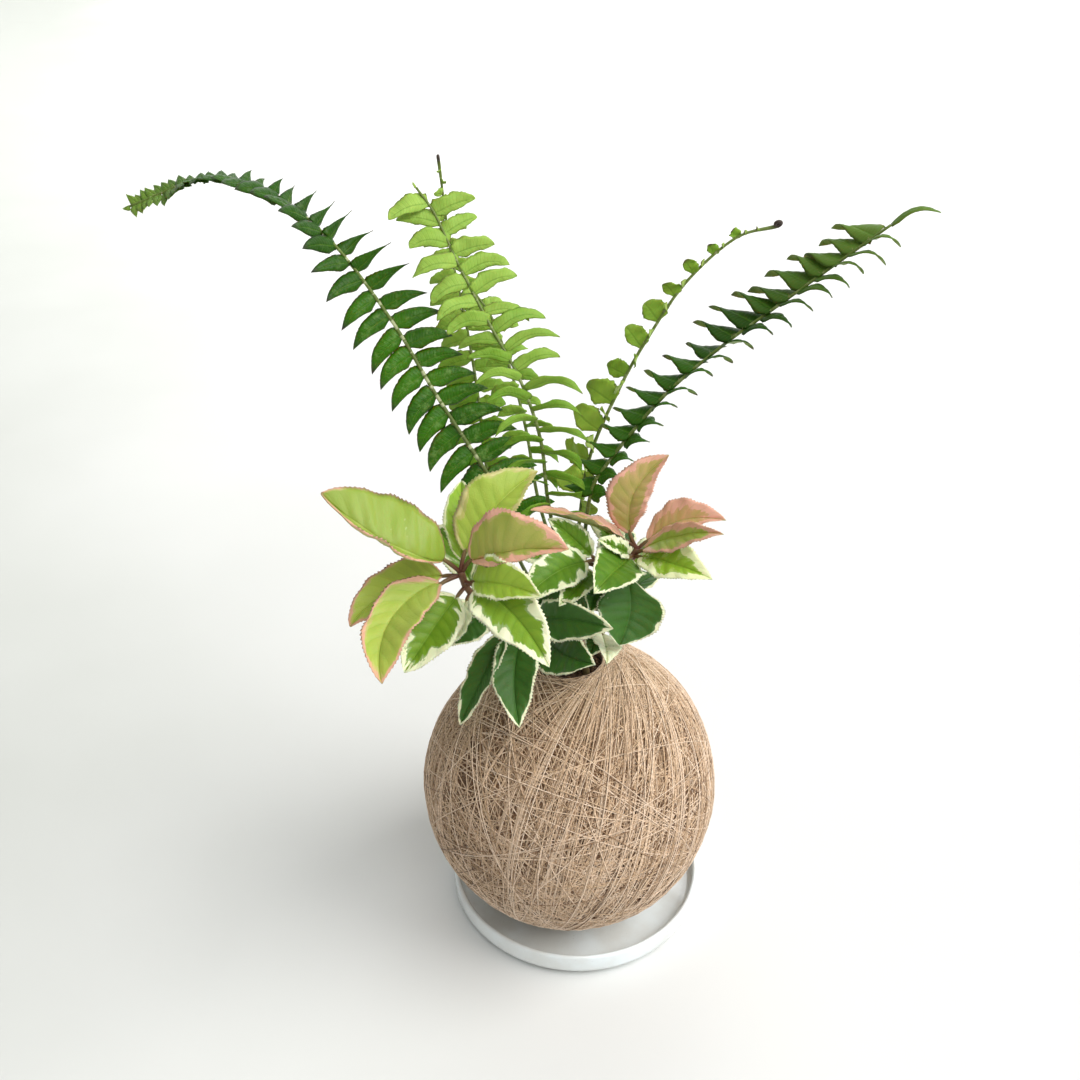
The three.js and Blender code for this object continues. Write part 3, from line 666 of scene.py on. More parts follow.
def threadLook(name, deep=False):
    yarn = Shade(name, specularIorLevel=0.25, sheenWeight=0.25, sheenRoughness=0.5)
    fuzz = yarn.noise(2600, detail=4, roughness=0.7)
    patch = yarn.noise(22, detail=2)
    # at the top of the ball, above 85 mm, the turns' tones are drawn together with the darker ones lightened,
    # and the bed under them is lightened: painted light from above
    upper = yarn.parts(yarn.place())[2].between(0.085, 0.135)
    if deep:
        # the bed is coloured as painted shade in the gaps between the turns, dark brown, and lighter towards
        # the top of the ball as painted light
        paintedGapShade = yarn.ramp(fuzz, (0.3, thread["gap"]), (0.8, thread["dark"]))
        yarn.feed(baseColor=yarn.mix(upper * 0.8, paintedGapShade, thread["bedPaintedLight"]), roughness=0.95)
        yarn.bump(fuzz, 0.5)
        return yarn.material
    # dark stripes along the twist of the plies: painted shade in the grooves between them
    twist = (yarn.value("run") * 3.4 + yarn.value("ply")).sine() * 0.5 + 0.5
    tone = yarn.value("tone") * (0.95 - upper * 0.3) + fuzz * 0.45 + patch * 0.3 + upper * 0.12 - 0.39
    colour = yarn.ramp(tone, (0.0, thread["dark"]), (0.34, thread["tan"]), (0.75, thread["pale"]))
    yarn.feed(baseColor=yarn.mix(twist * 0.22, colour, thread["dark"]), roughness=0.9 - fuzz * 0.12)
    yarn.bump(twist * 0.6 + fuzz * 0.5, 0.12)
    return yarn.material


def makeBed():
    # the shell under the thread: lumpy outside, open at the mouth, with a rolled rim; its rings run up the
    # outside from the foot and down the inside
    inside = ball["radius"] - ball["wrap"]
    edge = math.asin((ball["mouthRadius"] + bed["mouthGap"]) / inside)
    turn = (2 * np.pi * np.arange(bed["meridians"]) / bed["meridians"])[None]
    rising = np.linspace(math.pi, edge, bed["outerRings"] + 1)[1:]
    polar = np.concatenate([rising, np.linspace(edge, math.pi, bed["innerRings"] + 1)[:-1]])
    towards = aboutMouth(polar[:, None], turn)
    lumps = rumple(towards * 60, bed["lumpSize"], octaves=3)[..., None]
    outer = woundReach(towards) - bed["depth"] + bed["lump"] * lumps
    outer = outer - bed["roll"] * np.exp(-(((polar - edge) / bed["rollWidth"]) ** 2))[:, None, None]
    outside = np.arange(len(polar)) < bed["outerRings"]
    shell = ball["middle"] + towards * np.where(outside[:, None, None], outer, inside + 0.02)
    lowest = dish["floor"] + ball["gap"] + bed["foot"]
    shell[..., 2] = np.maximum(shell[..., 2], lowest)
    ends = [ball["middle"] - mouthAxis * (ball["radius"] - bed["depth"]), ball["middle"] - mouthAxis * inside]
    ends[0][2], ends[1][2] = lowest, lowest + bed["footWall"]
    skin = Skin()
    skin.addRings(shell, ends)
    # the bed's material is painted shade: the dark seen in the gaps between the turns
    skin.make("threadBed", [threadLook("threadDeepPaintedShade", deep=True)], "thread_wrap")


def makeWinding():
    makeBed()
    look = threadLook("tanThread")
    for name, layer in thread["layers"].items():
        skin = Skin("tone", "run", "ply")
        points, faces, values = threadTurns(*layer)
        skin.add(points, [faces], **values)
        if name == "threadLoose":
            addStrays(skin)
        skin.make(name, [look], "thread_wrap")


def addStrays(skin):  # thin ends that lift off the ball and bend over
    count = thread["strays"]
    root = unit(chance.normal(size=(count, 3)))
    root = root[(root @ mouthAxis < 0.95) & (root[:, 2] > -0.75)]
    count = len(root)
    heading = squareTo(chance.normal(size=(count, 3)), root)
    s = np.linspace(0, 1, 6)[None, :, None]
    length = chance.uniform(*thread["strayLength"], (count, 1, 1))
    bend = chance.uniform(*thread["strayBend"], (count, 1, 1))
    lean = chance.uniform(-thread["strayLean"], thread["strayLean"], (count, 1, 1))
    sideways = lean * np.cross(root, heading)[:, None]
    start = ball["middle"] + root * (woundReach(root) - 0.3)
    path = s * heading[:, None] + bend * s * (1.3 - s) * root[:, None] + sideways * s * s
    line = start[:, None] + length * path
    thin = thread["strayRadius"] * (1.15 - s)[..., None]
    points = line[:, :, None] + thin * spokes(3, np.cross(root, heading)[:, None], root[:, None])
    caps = np.array([[0, 2, 1], [15, 16, 17]])
    faces = [copyFaces(gridFaces(6, 3, joinCols=True), count, 18), copyFaces(caps, count, 18)]
    skin.add(points, faces, tone=0.85)


makeWinding()


# Ferns

# Each side of a leaflet is (part, base, swell, tip, blunt), and its width is the leaflet's width times
# part . (base + (1 - base) . smooth(v / swell)) . (1 - v^tip)^blunt. The front side is the one towards the
# frond's tip. cup bends the rims down and groove sinks the midrib, in shares of the half width; ragged and
# lobed are the unevenness of the rims.
outlines = {
    "sickle": {
        "front": (0.6, 0.88, 0.12, 1.9, 0.85), "back": (0.4, 0.35, 0.25, 1.9, 0.9), "cup": 0.34,
        "groove": 0.12, "ragged": 0.015, "lobed": 0.02,
    },
    "oblong": {
        "front": (0.64, 0.85, 0.12, 3.2, 0.62), "back": (0.36, 0.4, 0.25, 2.6, 0.8), "cup": 0.14,
        "groove": 0.05, "ragged": 0.016, "lobed": 0.07,
    },
    "curled": {
        "front": (0.54, 0.9, 0.12, 2.4, 0.6), "back": (0.46, 0.6, 0.2, 2.4, 0.6), "cup": 0.3, "groove": 0.1,
        "ragged": 0.015, "lobed": 0.02,
    },
    "rounded": {
        "front": (0.62, 0.75, 0.25, 3.2, 0.55), "back": (0.38, 0.2, 0.5, 2.4, 0.5), "cup": -0.1,
        "groove": 0.04, "ragged": 0.02, "lobed": 0.055,
    },
}
fern = {
    "columns": (-1, -0.75, -0.42, -0.15, 0, 0.15, 0.42, 0.75, 1), "rows": 27, "thickness": 0.24,
    "thinnest": 0.06, "rachis": (0.95, 0.5), "sections": 120,
    "scaleLength": (0.8, 1.7), "scaleThickness": 0.1,
    # how unevenly the leaflets sit and grow, in degrees or as shares
    "uneven": {
        "raise": 5, "bend": 9, "hook": 6, "sweep": 4, "width": 0.05, "length": 0.035, "twist": 8, "coil": 12,
    },
}
soilFoot = soil["top"] - 7.7  # the stalks stand a little above the bottoms of their holes

# Route points, lengths and widths are in millimetres and angles in degrees. What changes along the leafy
# part is a dictionary of stops, {place: value}. A leaflet leans towards the frond's tip by sweep and starts
# at raise above its plane. From the share bendFrom of its length on it bends back by bend and towards the
# frond's foot by hook. It is twisted about itself by twist at its foot and coil more at its tip, and taper
# thins it to a point. "left" holds what differs on the left side. crowd is how close together the leaflets
# stand, wave ruffles the rims and jitter scales the unevenness. A frond ends in one last leaflet, end
# (length, width, bend), or in a crozier (radius of the coil, turns, thickness).
fronds = [
    {
        "name": "fernLongLeft", "node": "fern_frond_long_left", "look": "dark", "slot": "dark_fern",
        "root": (-3.5, 2.5), "leafy": (0.25, 0.995), "pairs": 35, "outline": "sickle",
        "crowd": {0: 1, 0.5: 1.05, 0.7: 1.3, 0.85: 2, 1: 3.2},
        "route": [(-12, 8, 171), (-25, 13, 195), (-39, 18, 216), (-59, 31, 244), (-77, 46, 270),
                  (-101, 62, 297), (-126, 76, 312), (-154, 86, 315), (-189, 92, 302)],
        "faces": {0: (0.15, -0.9, 0.4), 0.42: (0.1, -0.75, 0.6), 0.62: (-0.1, 0.3, 0.9),
                  0.8: (-0.1, 0.3, 0.9), 0.87: (-0.1, 0.08, 0.95), 0.93: (-0.3, -0.35, 0.85),
                  1: (-0.3, -0.5, 0.8)},
        "lengths": {0: 19, 0.15: 21.5, 0.45: 20, 0.62: 16.5, 0.78: 13, 0.88: 11, 1: 7.5},
        "widths": {0: 8.6, 0.2: 9.2, 0.45: 8.6, 0.62: 7.2, 0.78: 7.2, 0.9: 6.6, 1: 4.8},
        "raise": {0: 5, 0.35: 8, 0.5: 20, 0.62: 28, 0.8: 22, 0.9: 12},
        "bend": {0: 30, 0.4: 28, 0.6: 6, 0.8: 20, 1: 10}, "bendFrom": 0.15,
        "hook": {0: 42, 0.3: 26, 0.5: 10, 0.65: 2, 0.8: 16, 1: 0},
        "sweep": {0: 0, 0.45: -3, 0.58: 22, 0.72: 26, 0.8: 40, 0.88: 34, 0.94: 40, 1: 44},
        "twist": {0: 8, 0.45: 8, 0.6: 36, 0.8: -10, 0.9: 8},
        "coil": {0: 8, 0.42: 14, 0.55: 70, 0.75: 70, 0.85: -10, 1: 0},
        "taper": {0: 0, 0.4: 0.05, 0.55: 1.1, 0.72: 1.0, 0.85: 0.2}, "wave": 0.05, "jitter": 0.75,
        "end": (4, 3, 8), "scales": 420,
        "left": {
            "hook": {0: 40, 0.4: 32, 0.6: 8, 1: 0}, "raise": {0: 0, 0.42: 5, 0.58: 13, 0.8: 5, 1: 12},
            "bend": {0: 34, 0.45: 26, 0.6: 11, 0.8: 22, 1: 10},
            "twist": {0: 8, 0.5: 8, 0.6: 25, 0.8: 24, 0.9: 8},
            "sweep": {0: -6, 0.4: -4, 0.56: 20, 0.8: 28, 0.9: -4, 1: -16}, "coil": {0: 5, 1: 5},
            "taper": {0: 0, 0.8: 0.1, 1: 0.3},
            "widths": {0: 8.6, 0.2: 9.4, 0.5: 8.4, 0.62: 9.4, 0.8: 9.4, 0.9: 7, 1: 4.8},
            "lengths": {0: 19, 0.15: 22, 0.5: 19, 0.8: 15, 0.88: 11, 1: 7.5},
        },
    },
    {
        "name": "fernLightFront", "node": "fern_frond_light_front", "look": "pale", "slot": "light_fern",
        "root": (0.5, -0.5), "leafy": (0.36, 0.975), "pairs": 16, "crowd": 1, "outline": "oblong",
        "route": [(-8, 4, 177), (-14, 8, 208), (-17, 15, 232), (-25, 25, 253), (-37, 36, 272), (-49, 47, 292),
                  (-58, 54, 310), (-65, 56, 320)],
        "faces": {0: (0.1, -0.35, 0.95), 0.3: (0.1, -0.5, 0.9), 0.6: (0.15, -0.8, 0.6),
                  1: (0.2, -0.85, 0.45)}, "lengths": {0: 25, 0.3: 25, 0.6: 22, 0.85: 18.5, 1: 16.5},
        "widths": {0: 4.6, 0.2: 3.8, 0.35: 4.2, 0.55: 5.6, 0.75: 6.9, 1: 7.5},
        "raise": {0: 54, 0.25: 42, 0.5: 16, 1: 4}, "bend": {0: 84, 0.25: 70, 0.5: 34, 1: 12},
        "bendFrom": 0.08, "hook": {0: 70, 0.4: 50, 0.85: 28, 1: 20}, "sweep": {0: -4, 0.5: 4, 0.85: 6, 1: -8},
        "twist": {0: 68, 0.25: 52, 0.45: 12, 1: 4}, "coil": {0: -80, 0.25: -70, 0.45: 0, 1: 6}, "taper": 0,
        "wave": 0.22, "jitter": 1.7, "end": (2.5, 1.1, 0), "scales": 150,
        "left": {
            "hook": {0: 80, 0.35: 62, 0.5: 50, 0.85: 46, 1: 30}, "sweep": {0: 28, 0.5: 36, 1: 38},
            "twist": {0: 76, 0.3: 50, 0.48: 5}, "coil": {0: -130, 0.3: -80, 0.5: 0, 1: 5},
            "raise": {0: 30, 0.5: 14, 1: 4}, "bend": {0: 56, 0.4: 40, 1: 14},
            "lengths": {0: 20, 0.4: 20, 1: 17.5},
        },
    },
    {
        "name": "fernLightMiddle", "node": "fern_frond_light_middle", "look": "pale", "slot": "light_fern",
        "root": (-0.5, 4.5), "leafy": (0.5, 0.98), "pairs": 8, "crowd": 1, "outline": "oblong",
        "route": [(-4, 9, 153), (-10, 18, 173), (-18, 32, 195), (-23, 46, 220), (-29, 57, 241),
                  (-37, 68, 261), (-47, 74, 274)], "faces": {0: (0.1, -0.6, 0.8), 1: (0.2, -0.8, 0.5)},
        "lengths": {0: 15, 0.5: 12, 1: 9}, "widths": {0: 4, 0.5: 5.5, 1: 6}, "raise": {0: 40, 1: 5},
        "bend": {0: 70, 1: 20}, "bendFrom": 0.1, "hook": {0: 60, 1: 40}, "sweep": 4,
        "twist": {0: 60, 0.6: 10}, "coil": {0: -90, 0.6: 0}, "taper": 0, "wave": 0.2, "jitter": 1.5,
        "end": (6, 3.5, 10), "scales": 70,
        "left": {"sweep": 30},
    },
    {
        "name": "fernLightBack", "node": "fern_frond_light_back", "look": "pale", "slot": "light_fern",
        "root": (-4.5, 6.5), "leafy": (0.42, 0.985), "pairs": 15, "crowd": 1, "outline": "oblong",
        "route": [(-11, 13, 147), (-26, 30, 165), (-40, 52, 197), (-44, 68, 224), (-49, 80, 254),
                  (-55, 88, 284), (-59, 92, 322)], "faces": {0: (0.1, -0.95, 0.3), 1: (0.1, -0.95, 0.3)},
        "lengths": {0: 13, 0.4: 16, 0.78: 11, 0.86: 6, 0.9: 6.5, 0.94: 3, 1: 2.6},
        "widths": {0: 7, 0.8: 6.5, 0.9: 5.5, 0.94: 2.6, 1: 2.2}, "raise": {0: 10, 0.85: 5, 1: 40},
        "bend": {0: 50, 0.8: 20, 1: -50}, "bendFrom": 0.1, "hook": {0: 30, 0.8: 20, 1: -40},
        "sweep": {0: 10, 0.9: -10, 1: 30}, "twist": 10, "coil": {0: 50, 0.6: 10, 1: 50}, "taper": 0,
        "wave": 0.18, "jitter": 1.3, "crozier": (1.0, 1.1, 1.5), "scales": 110,
    },
    {
        "name": "fernYoungRight", "node": "fern_frond_young_right", "look": "young", "slot": "young_fern",
        "root": (3.6, 3.2), "leafy": (0.34, 0.975), "pairs": 12, "crowd": {0: 1, 0.6: 1.1, 1: 1.5},
        "outline": "rounded",
        "route": [(-1, 14, 176), (0, 22, 198), (4, 28, 220), (15, 32, 247), (25, 35, 266), (39, 38, 288),
                  (57, 40, 305), (73, 40, 310)], "faces": {0: (-0.5, -0.75, 0.6), 1: (-0.4, -0.6, 0.75)},
        "lengths": {0: 10, 0.35: 7, 0.55: 4.5, 0.75: 3, 0.88: 2.2, 1: 1.8},
        "widths": {0: 10, 0.35: 7, 0.55: 5, 0.75: 3.4, 0.88: 2.4, 1: 1.8}, "raise": {0: 40, 0.5: 60, 1: 50},
        "bend": {0: 35, 0.5: 0, 0.8: -60, 1: -110}, "bendFrom": 0.1, "hook": {0: -6, 0.6: -8, 1: -30},
        "sweep": {0: 6, 0.5: 10, 1: 30}, "twist": {0: 16, 0.5: 0, 1: 0},
        "coil": {0: 40, 0.4: 5, 0.8: 10, 1: 60}, "taper": 0, "wave": 0.24, "jitter": 2.0,
        "crozier": (1.5, 1.2, 1.6), "scales": 190,
        "left": {
            "raise": {0: 10, 0.5: 14, 1: 30},
            "lengths": {0: 14, 0.3: 14, 0.42: 10.5, 0.6: 9.6, 0.75: 7.2, 0.88: 4.8, 1: 2},
            "widths": {0: 13, 0.3: 13.5, 0.42: 11, 0.6: 10.2, 0.75: 8.4, 0.88: 5.6, 1: 2},
        },
    },
    {
        "name": "fernDarkRight", "node": "fern_frond_dark_right", "look": "dusk", "slot": "dark_fern",
        "root": (4.6, -1.2), "leafy": (0.36, 0.98), "pairs": 18, "crowd": {0: 1, 0.6: 1, 1: 1.4},
        "outline": "curled",
        "route": [(1, 4, 182), (3, 6, 212), (10, 8, 226), (30, 10, 253), (51, 10, 274), (69, 8, 290),
                  (87, 4, 307), (104, 0, 323)],
        "faces": {0: (-0.45, -0.6, 0.55), 0.3: (-0.65, -0.15, 0.67), 1: (-0.65, -0.05, 0.7)},
        "lengths": {0: 12, 0.25: 14, 0.6: 16.5, 0.8: 18, 1: 18},
        "widths": {0: 9, 0.3: 9, 0.5: 8.5, 0.8: 8.5, 1: 7.5}, "raise": {0: 16, 0.3: 10, 1: 10},
        "bend": {0: 40, 0.3: 120, 1: 116}, "bendFrom": 0.3, "hook": {0: 60, 0.3: 8, 1: -4},
        "sweep": {0: 46, 1: 48}, "twist": {0: 0, 0.3: -26, 1: -30}, "coil": {0: -70, 0.3: -60, 1: -50},
        "taper": 0.3, "wave": 0.05, "jitter": 0.9, "end": (19, 4.5, 75), "scales": 200,
        "left": {
            "raise": {0: 10, 0.35: 23, 1: 22}, "taper": 0.45, "bend": {0: 8, 0.45: 0, 0.8: 30, 1: 34},
            "hook": {0: 26, 0.45: 14, 0.8: 30}, "sweep": {0: -14, 0.4: -28, 1: -33},
            "twist": {0: -35, 0.45: -18, 0.8: -6}, "coil": {0: -60, 0.3: -130, 1: -130},
            "lengths": {0: 13, 0.25: 15.5, 0.45: 18, 0.7: 21.5, 1: 21},
            "widths": {0: 10, 0.2: 12, 0.6: 12, 1: 10.5},
        },
    },
]


def stalkRoute(part):  # straight up from the bottom of its hole in the soil, then along its own points
    (x, y), top = part["root"], soil["top"]
    return [(x, y, soilFoot), (x, y, top), (x, y, top + 6), *part["route"]]


def rachisFrame(frond, places):  # centre, direction, upper face and share of the leafy part at places
    centre, heading = smoothPath(stalkRoute(frond), places)
    first, last = frond["leafy"]
    leafy = np.clip((places - first) / (last - first), 0, 1)
    face = squareTo(along(frond["faces"], leafy), heading)
    return centre, heading, face, leafy


def habit(frond, name, place, side):  # a column of one value for each leaflet's place, on its own side
    def stops(value):
        return value if isinstance(value, dict) else {0: value}

    right = along(stops(frond[name]), place)
    left = along(stops(frond.get("left", {}).get(name, frond[name])), place)
    return np.where(side < 0, left, right)[:, None]


def leafletRim(rim, v):  # how far a rim lies from the midrib, as a share of half the leaflet's width
    part, base, swell, tip, blunt = rim
    return 2 * part * (base + (1 - base) * smoothStep(v / swell)) * np.maximum(1 - v**tip, 0) ** blunt


def addLeaflets(skin, frond, root, heading, face, side, place, length, width, end=0.0):
    # The midrib runs on in the direction cos(rise)(cos(turn) flat - sin(turn) across) + sin(rise) face, where
    # rise = raise - bend . g, turn = hook . g and g = smooth((v - bendFrom) / (1 - bendFrom)). The blade lies
    # across it, turned about it by twist + coil . v^2.
    count, rows = len(place), fern["rows"]
    draws = chance.normal(size=(9, count, 1)) * frond["jitter"]
    uneven = {name: by * draw for (name, by), draw in zip(fern["uneven"].items(), draws)}
    side = side[:, None]

    def angle(name):
        return np.radians(habit(frond, name, place, side[:, 0]) + uneven[name])

    s = np.linspace(0, 1, rows)[None]
    v = 0.45 * s + 0.55 * np.sin(s * np.pi / 2)
    begin = frond["bendFrom"]
    late = smoothStep((v - begin) / (1 - begin))
    rise = angle("raise") - angle("bend") * late
    turn = angle("hook") * late
    sweep = angle("sweep")
    outward = np.cross(heading, face) * side
    flat = outward * np.cos(sweep) + heading * np.sin(sweep)
    across = heading * np.cos(sweep) - outward * np.sin(sweep)
    flat, across, upper = flat[:, None], across[:, None], face[:, None]
    rise, turn = rise[..., None], turn[..., None]
    ahead = np.cos(rise) * (np.cos(turn) * flat - np.sin(turn) * across) + np.sin(rise) * upper
    width = width[:, None] * (1 + uneven["width"])
    length = (length[:, None] * (1 + uneven["length"]))[..., None]
    step = np.diff(v, axis=1)[..., None]
    line = np.cumsum((ahead[:, 1:] + ahead[:, :-1]) / 2 * step, axis=1)
    line = root[:, None] + length * np.concatenate([np.zeros((count, 1, 3)), line], 1)
    beside = squareTo(np.broadcast_to(across, ahead.shape), ahead)
    spin = side * (angle("twist") + angle("coil") * v**2)
    beside = turned(beside, ahead, spin[..., None])
    normal = np.cross(ahead, beside) * side[..., None]

    u = np.array(fern["columns"], float)[None, None]
    v, out = v[..., None], np.abs(u)
    shape = outlines[frond["outline"]]
    front = -side[..., None] * u > 0  # towards the frond's tip
    ruffle = 1 + shape["ragged"] * (chance.normal(size=(count, rows, 2)) + np.array([1, -1]))
    ruffle[:, 1::2] = 2 - ruffle[:, 1::2]
    ruffle = np.where(u < 0, ruffle[..., :1], ruffle[..., 1:])
    half = np.where(front, leafletRim(shape["front"], v), leafletRim(shape["back"], v))
    phase = chance.uniform(0, 6.3, (count, 1, 1))
    lobes = 1 + shape["lobed"] * (np.sin(13 * v + phase) + 0.6 * np.sin(29 * v - 2 * phase + u)) * out
    thin = np.maximum(1 - 0.97 * v, 0) ** habit(frond, "taper", place, side[:, 0])[..., None]
    half = width[..., None] / 2 * half * thin * lobes * np.where(out > 0.9, ruffle, 1)
    half = np.maximum(half, fern["thinnest"])
    lift = half * (-shape["cup"] * u**2 - shape["groove"] * np.maximum(0, 1 - out / 0.3))
    lift = lift + frond["wave"] * half * np.sin(10 * v + phase + 1.8 * u) * out**1.5 * smoothStep(v * 4)
    lift = lift + 0.1 * np.sin(1.9 * v * length - 3 * out) * (1 - u * u) * smoothStep(v * 3)
    middle = line[:, :, None] - side[..., None, None] * beside[:, :, None] * (u * half)[..., None]
    middle = middle + normal[:, :, None] * lift[..., None]
    skin.addBlades(middle, normal[:, :, None], fern["thickness"], v=v, u=u * front * 2 - u,
                   place=place[:, None, None], end=end, long=length, seed=phase / 6.3)


def addPairs(skin, frond):  # the leaflets, left and right by turns
    count = 2 * frond["pairs"]
    number = np.arange(count)
    first, last = frond["leafy"]
    even = np.linspace(0, 1, 400)
    filled = np.cumsum(habit(frond, "crowd", even, np.ones(400))[:, 0])
    place = np.interp((number + 0.5) / count, filled / filled[-1], even)
    centre, heading, face, _ = rachisFrame(frond, first + place * (last - first))
    side = np.where(number % 2, -1.0, 1.0)
    lengths, widths = [habit(frond, name, place, side)[:, 0] for name in ("lengths", "widths")]
    addLeaflets(skin, frond, centre, heading, face, side, place, lengths, widths)


def addEnd(skin, frond, centre, heading, face):  # one last leaflet, which runs straight on from the rachis
    reach, wide, bend = frond["end"]
    straight = dict.fromkeys(("hook", "sweep", "twist", "coil", "taper"), 0)
    last = {**frond, **straight, "raise": 6, "bend": bend, "bendFrom": 0.1, "jitter": 0.2, "left": {}}
    one = np.ones(1)
    addLeaflets(skin, last, centre, -np.cross(heading, face), face, one, one, reach * one, wide * one, 1.0)


def addRachis(skin, frond):  # the stalk, and its coiled tip if it has one
    places = np.linspace(0, 1, fern["sections"])
    centre, heading, face, leafy = rachisFrame(frond, places)
    radii = fern["rachis"][0] + (fern["rachis"][1] - fern["rachis"][0]) * places
    tip = np.zeros(len(places))
    if "crozier" in frond:
        # a spiral about a centre over the upper face, towards which it winds in
        coil, turns, thick = frond["crozier"]
        share, ones = np.linspace(0, 1, 31)[1:], np.ones(30)
        turn = (2 * np.pi * turns * share)[:, None]
        inward = face[-1] * np.cos(turn) - heading[-1] * np.sin(turn)
        spiral = centre[-1] + face[-1] * coil - inward * coil * (1 - 0.62 * share[:, None])
        onward = np.cross(inward, np.cross(heading[-1], face[-1]))
        radii = radii + (thick / 2 - radii) * smoothStep((places - 0.94) / 0.06)
        tip = smoothStep((places - 0.985) / 0.015)
        straight = [centre, heading, face, radii, tip, leafy, places]
        coiled = [spiral, onward, inward, thick / 2 * (1 - 0.35 * share), ones, ones, ones]
        centre, heading, face, radii, tip, leafy, places = map(np.concatenate, zip(straight, coiled))
    else:
        addEnd(skin, frond, centre[-1:], heading[-1:], face[-1:])
    dash = 0.7 if frond["look"] == "dark" else 0.2
    skin.addTube(centre, heading, face, radii, 9, 1, place=places, v=leafy, end=tip, dash=dash)


def addScales(skin, frond):  # small dry spikes along the rachis, thickest near its foot
    spot = np.sort(chance.uniform(0.06, 0.97, frond["scales"]) ** 1.25)
    root, ahead, up, _ = rachisFrame(frond, spot)
    spin = chance.uniform(0, 2 * np.pi, (len(spot), 1))
    spoke = np.cos(spin) * np.cross(ahead, up) + np.sin(spin) * up
    outward, onward = [chance.uniform(low, 1, (len(spot), 1)) for low in (0.25, -0.4)]
    lengths = chance.uniform(*fern["scaleLength"], len(spot))
    lean = unit(spoke * outward + ahead * onward)
    skin.addNeedles(root + spoke * 0.5, lean, lengths, fern["scaleThickness"], 2, place=spot)


def makeFrond(frond, looks):
    skin = Skin("v", "u", "place", "seed", "face", "long", "end", "dash")
    addPairs(skin, frond)
    addRachis(skin, frond)
    addScales(skin, frond)
    materials = [looks[frond["look"]], looks["rachis"], looks["scale"]]
    skin.make(frond["name"], materials, frond["node"])


fernLooks = {
    # upper face, its lighter areas, the under face, veins, the stained tips, roughness, where the stain
    # starts on a leaflet, and how much of it there is at the frond's foot, middle and tip
    "dark": ["#205004", "#4e9010", "#7b9a34", "#5c8626", "#33282f", 0.24, 0.72, (0.0, 0.9, 0.0)],
    "dusk": ["#254f06", "#447a0c", "#7f9c4c", "#568424", "#453f40", 0.36, 0.78, (0.1, 0.9, 0.1)],
    "pale": ["#6a9628", "#a2c458", "#a0be54", "#4f7a1c", "#5c4630", 0.42, 0.93, (0.9, 0.6, 0.0)],
    "young": ["#6b9a24", "#a0c44a", "#98b45a", "#567f20", "#4a3426", 0.42, 0.7, (0.1, 0.3, 1.6)],
}

# between which places on a frond its leaflets turn lighter, and how much
ageing = {"dark": (0.72, 1.0, 0.4), "young": (0.6, 0.1, 0.5)}
# where on a dark frond the leaflets start to turn yellower, and how much
youngTip = {"dark": (0.84, 0.85), "dusk": (0.6, 0.5)}


def fernLook(name, base, lighter, under, vein, stain, shine, stainFrom, stained):
    leaf = Shade(name + "Fern", subsurfaceWeight=0.1, subsurfaceScale=0.001, specularIorLevel=0.2)
    v, u, seed, place = [leaf.value(each) for each in ("v", "u", "seed", "place")]
    side = abs(u)
    # forked side veins run out from the midrib and up towards the tip
    veins = (abs((v * leaf.value("long") * 0.75 - side * 1.1).fraction() - 0.5) * 2).between(0.7, 1.0)
    midrib = side.between(0.12, 0.03) * v.between(1.0, 0.75)
    cloud = leaf.noise(95, detail=2)
    mottled = leaf.noise(600, detail=3)
    share = cloud * 0.7 + seed * 0.3 + mottled * 0.3 - 0.35
    if name == "pale":
        share = share + (place * 0.9 - 0.4)
    elif name in ageing:
        start, full, by = ageing[name]
        share = share + place.between(start, full) * by
    colour = leaf.mix(share, base, lighter)
    if name == "dark":
        # pale green patches on the upper face, away from the midrib: a painted highlight standing in for the
        # leaflets' gloss
        paintedHighlight = leaf.noise(260, detail=4, roughness=0.7).between(0.5, 0.72) * side.between(1.0, 0.5)
        colour = leaf.mix(paintedHighlight * 0.4, colour, "#8fb464")
    if name in youngTip:  # deeper half way up the frond and yellower near its tip
        start, amount = youngTip[name]
        colour = leaf.mix(place.between(0.4, 0.58) * 0.6, colour, "#1a3c05")
        colour = leaf.mix(place.between(start, 1.0) * amount, colour, "#7b9c3e")
    colour = leaf.mix(veins * 0.1, colour, vein)
    colour = leaf.mix(midrib * 0.35, colour, vein)
    colour = leaf.mix(leaf.value("face").between(0.45, 0.2), colour, under)
    foot, middle, tip = stained
    amount = place.between(0.5, 0.0) * foot + place.between(0.0, 0.45) * place.between(1.0, 0.6) * middle
    amount = amount + place.between(0.6, 1.0) * tip
    amount = v.between(stainFrom, min(1.0, stainFrom + 0.3)) * amount * (0.6 + seed * 0.6)
    colour = leaf.mix(amount, colour, stain)
    leaf.feed(baseColor=colour, roughness=shine + mottled * 0.18)
    leaf.bump(mottled * 0.9 + cloud * 0.6 - veins * 0.4 - midrib * 0.5, 0.35 if name == "dark" else 0.16)
    return leaf.material


def rachisLook():
    stalk = Shade("fernStalk")
    place, streak = stalk.value("place"), stalk.noise(420, detail=3)
    colour = stalk.ramp(place + streak * 0.15 - 0.07, (0.0, "#4a3420"), (0.22, "#55622a"), (0.6, "#64782c"))
    colour = stalk.mix(stalk.value("end"), colour, "#35251a")
    flow = stalk.vector(place * 130, stalk.value("v") * 2)
    dash = stalk.noise(1.0, flow, detail=1).between(0.56, 0.62)
    colour = stalk.mix(dash * place.between(0.25, 0.35) * stalk.value("dash"), colour, "#c9cfa0")
    stalk.feed(baseColor=colour, roughness=0.5)
    stalk.bump(streak, 0.2)
    dry = Shade("fernScale", roughness=0.8)
    dry.feed(baseColor=dry.mix(dry.noise(700), "#8d7650", "#cfc592"))
    return {"rachis": stalk.material, "scale": dry.material}


def makeFerns():
    looks = {name: fernLook(name, *look) for name, look in fernLooks.items()}
    looks.update(rachisLook())
    for frond in fronds:
        makeFrond(frond, looks)


makeFerns()


# Leafy stems

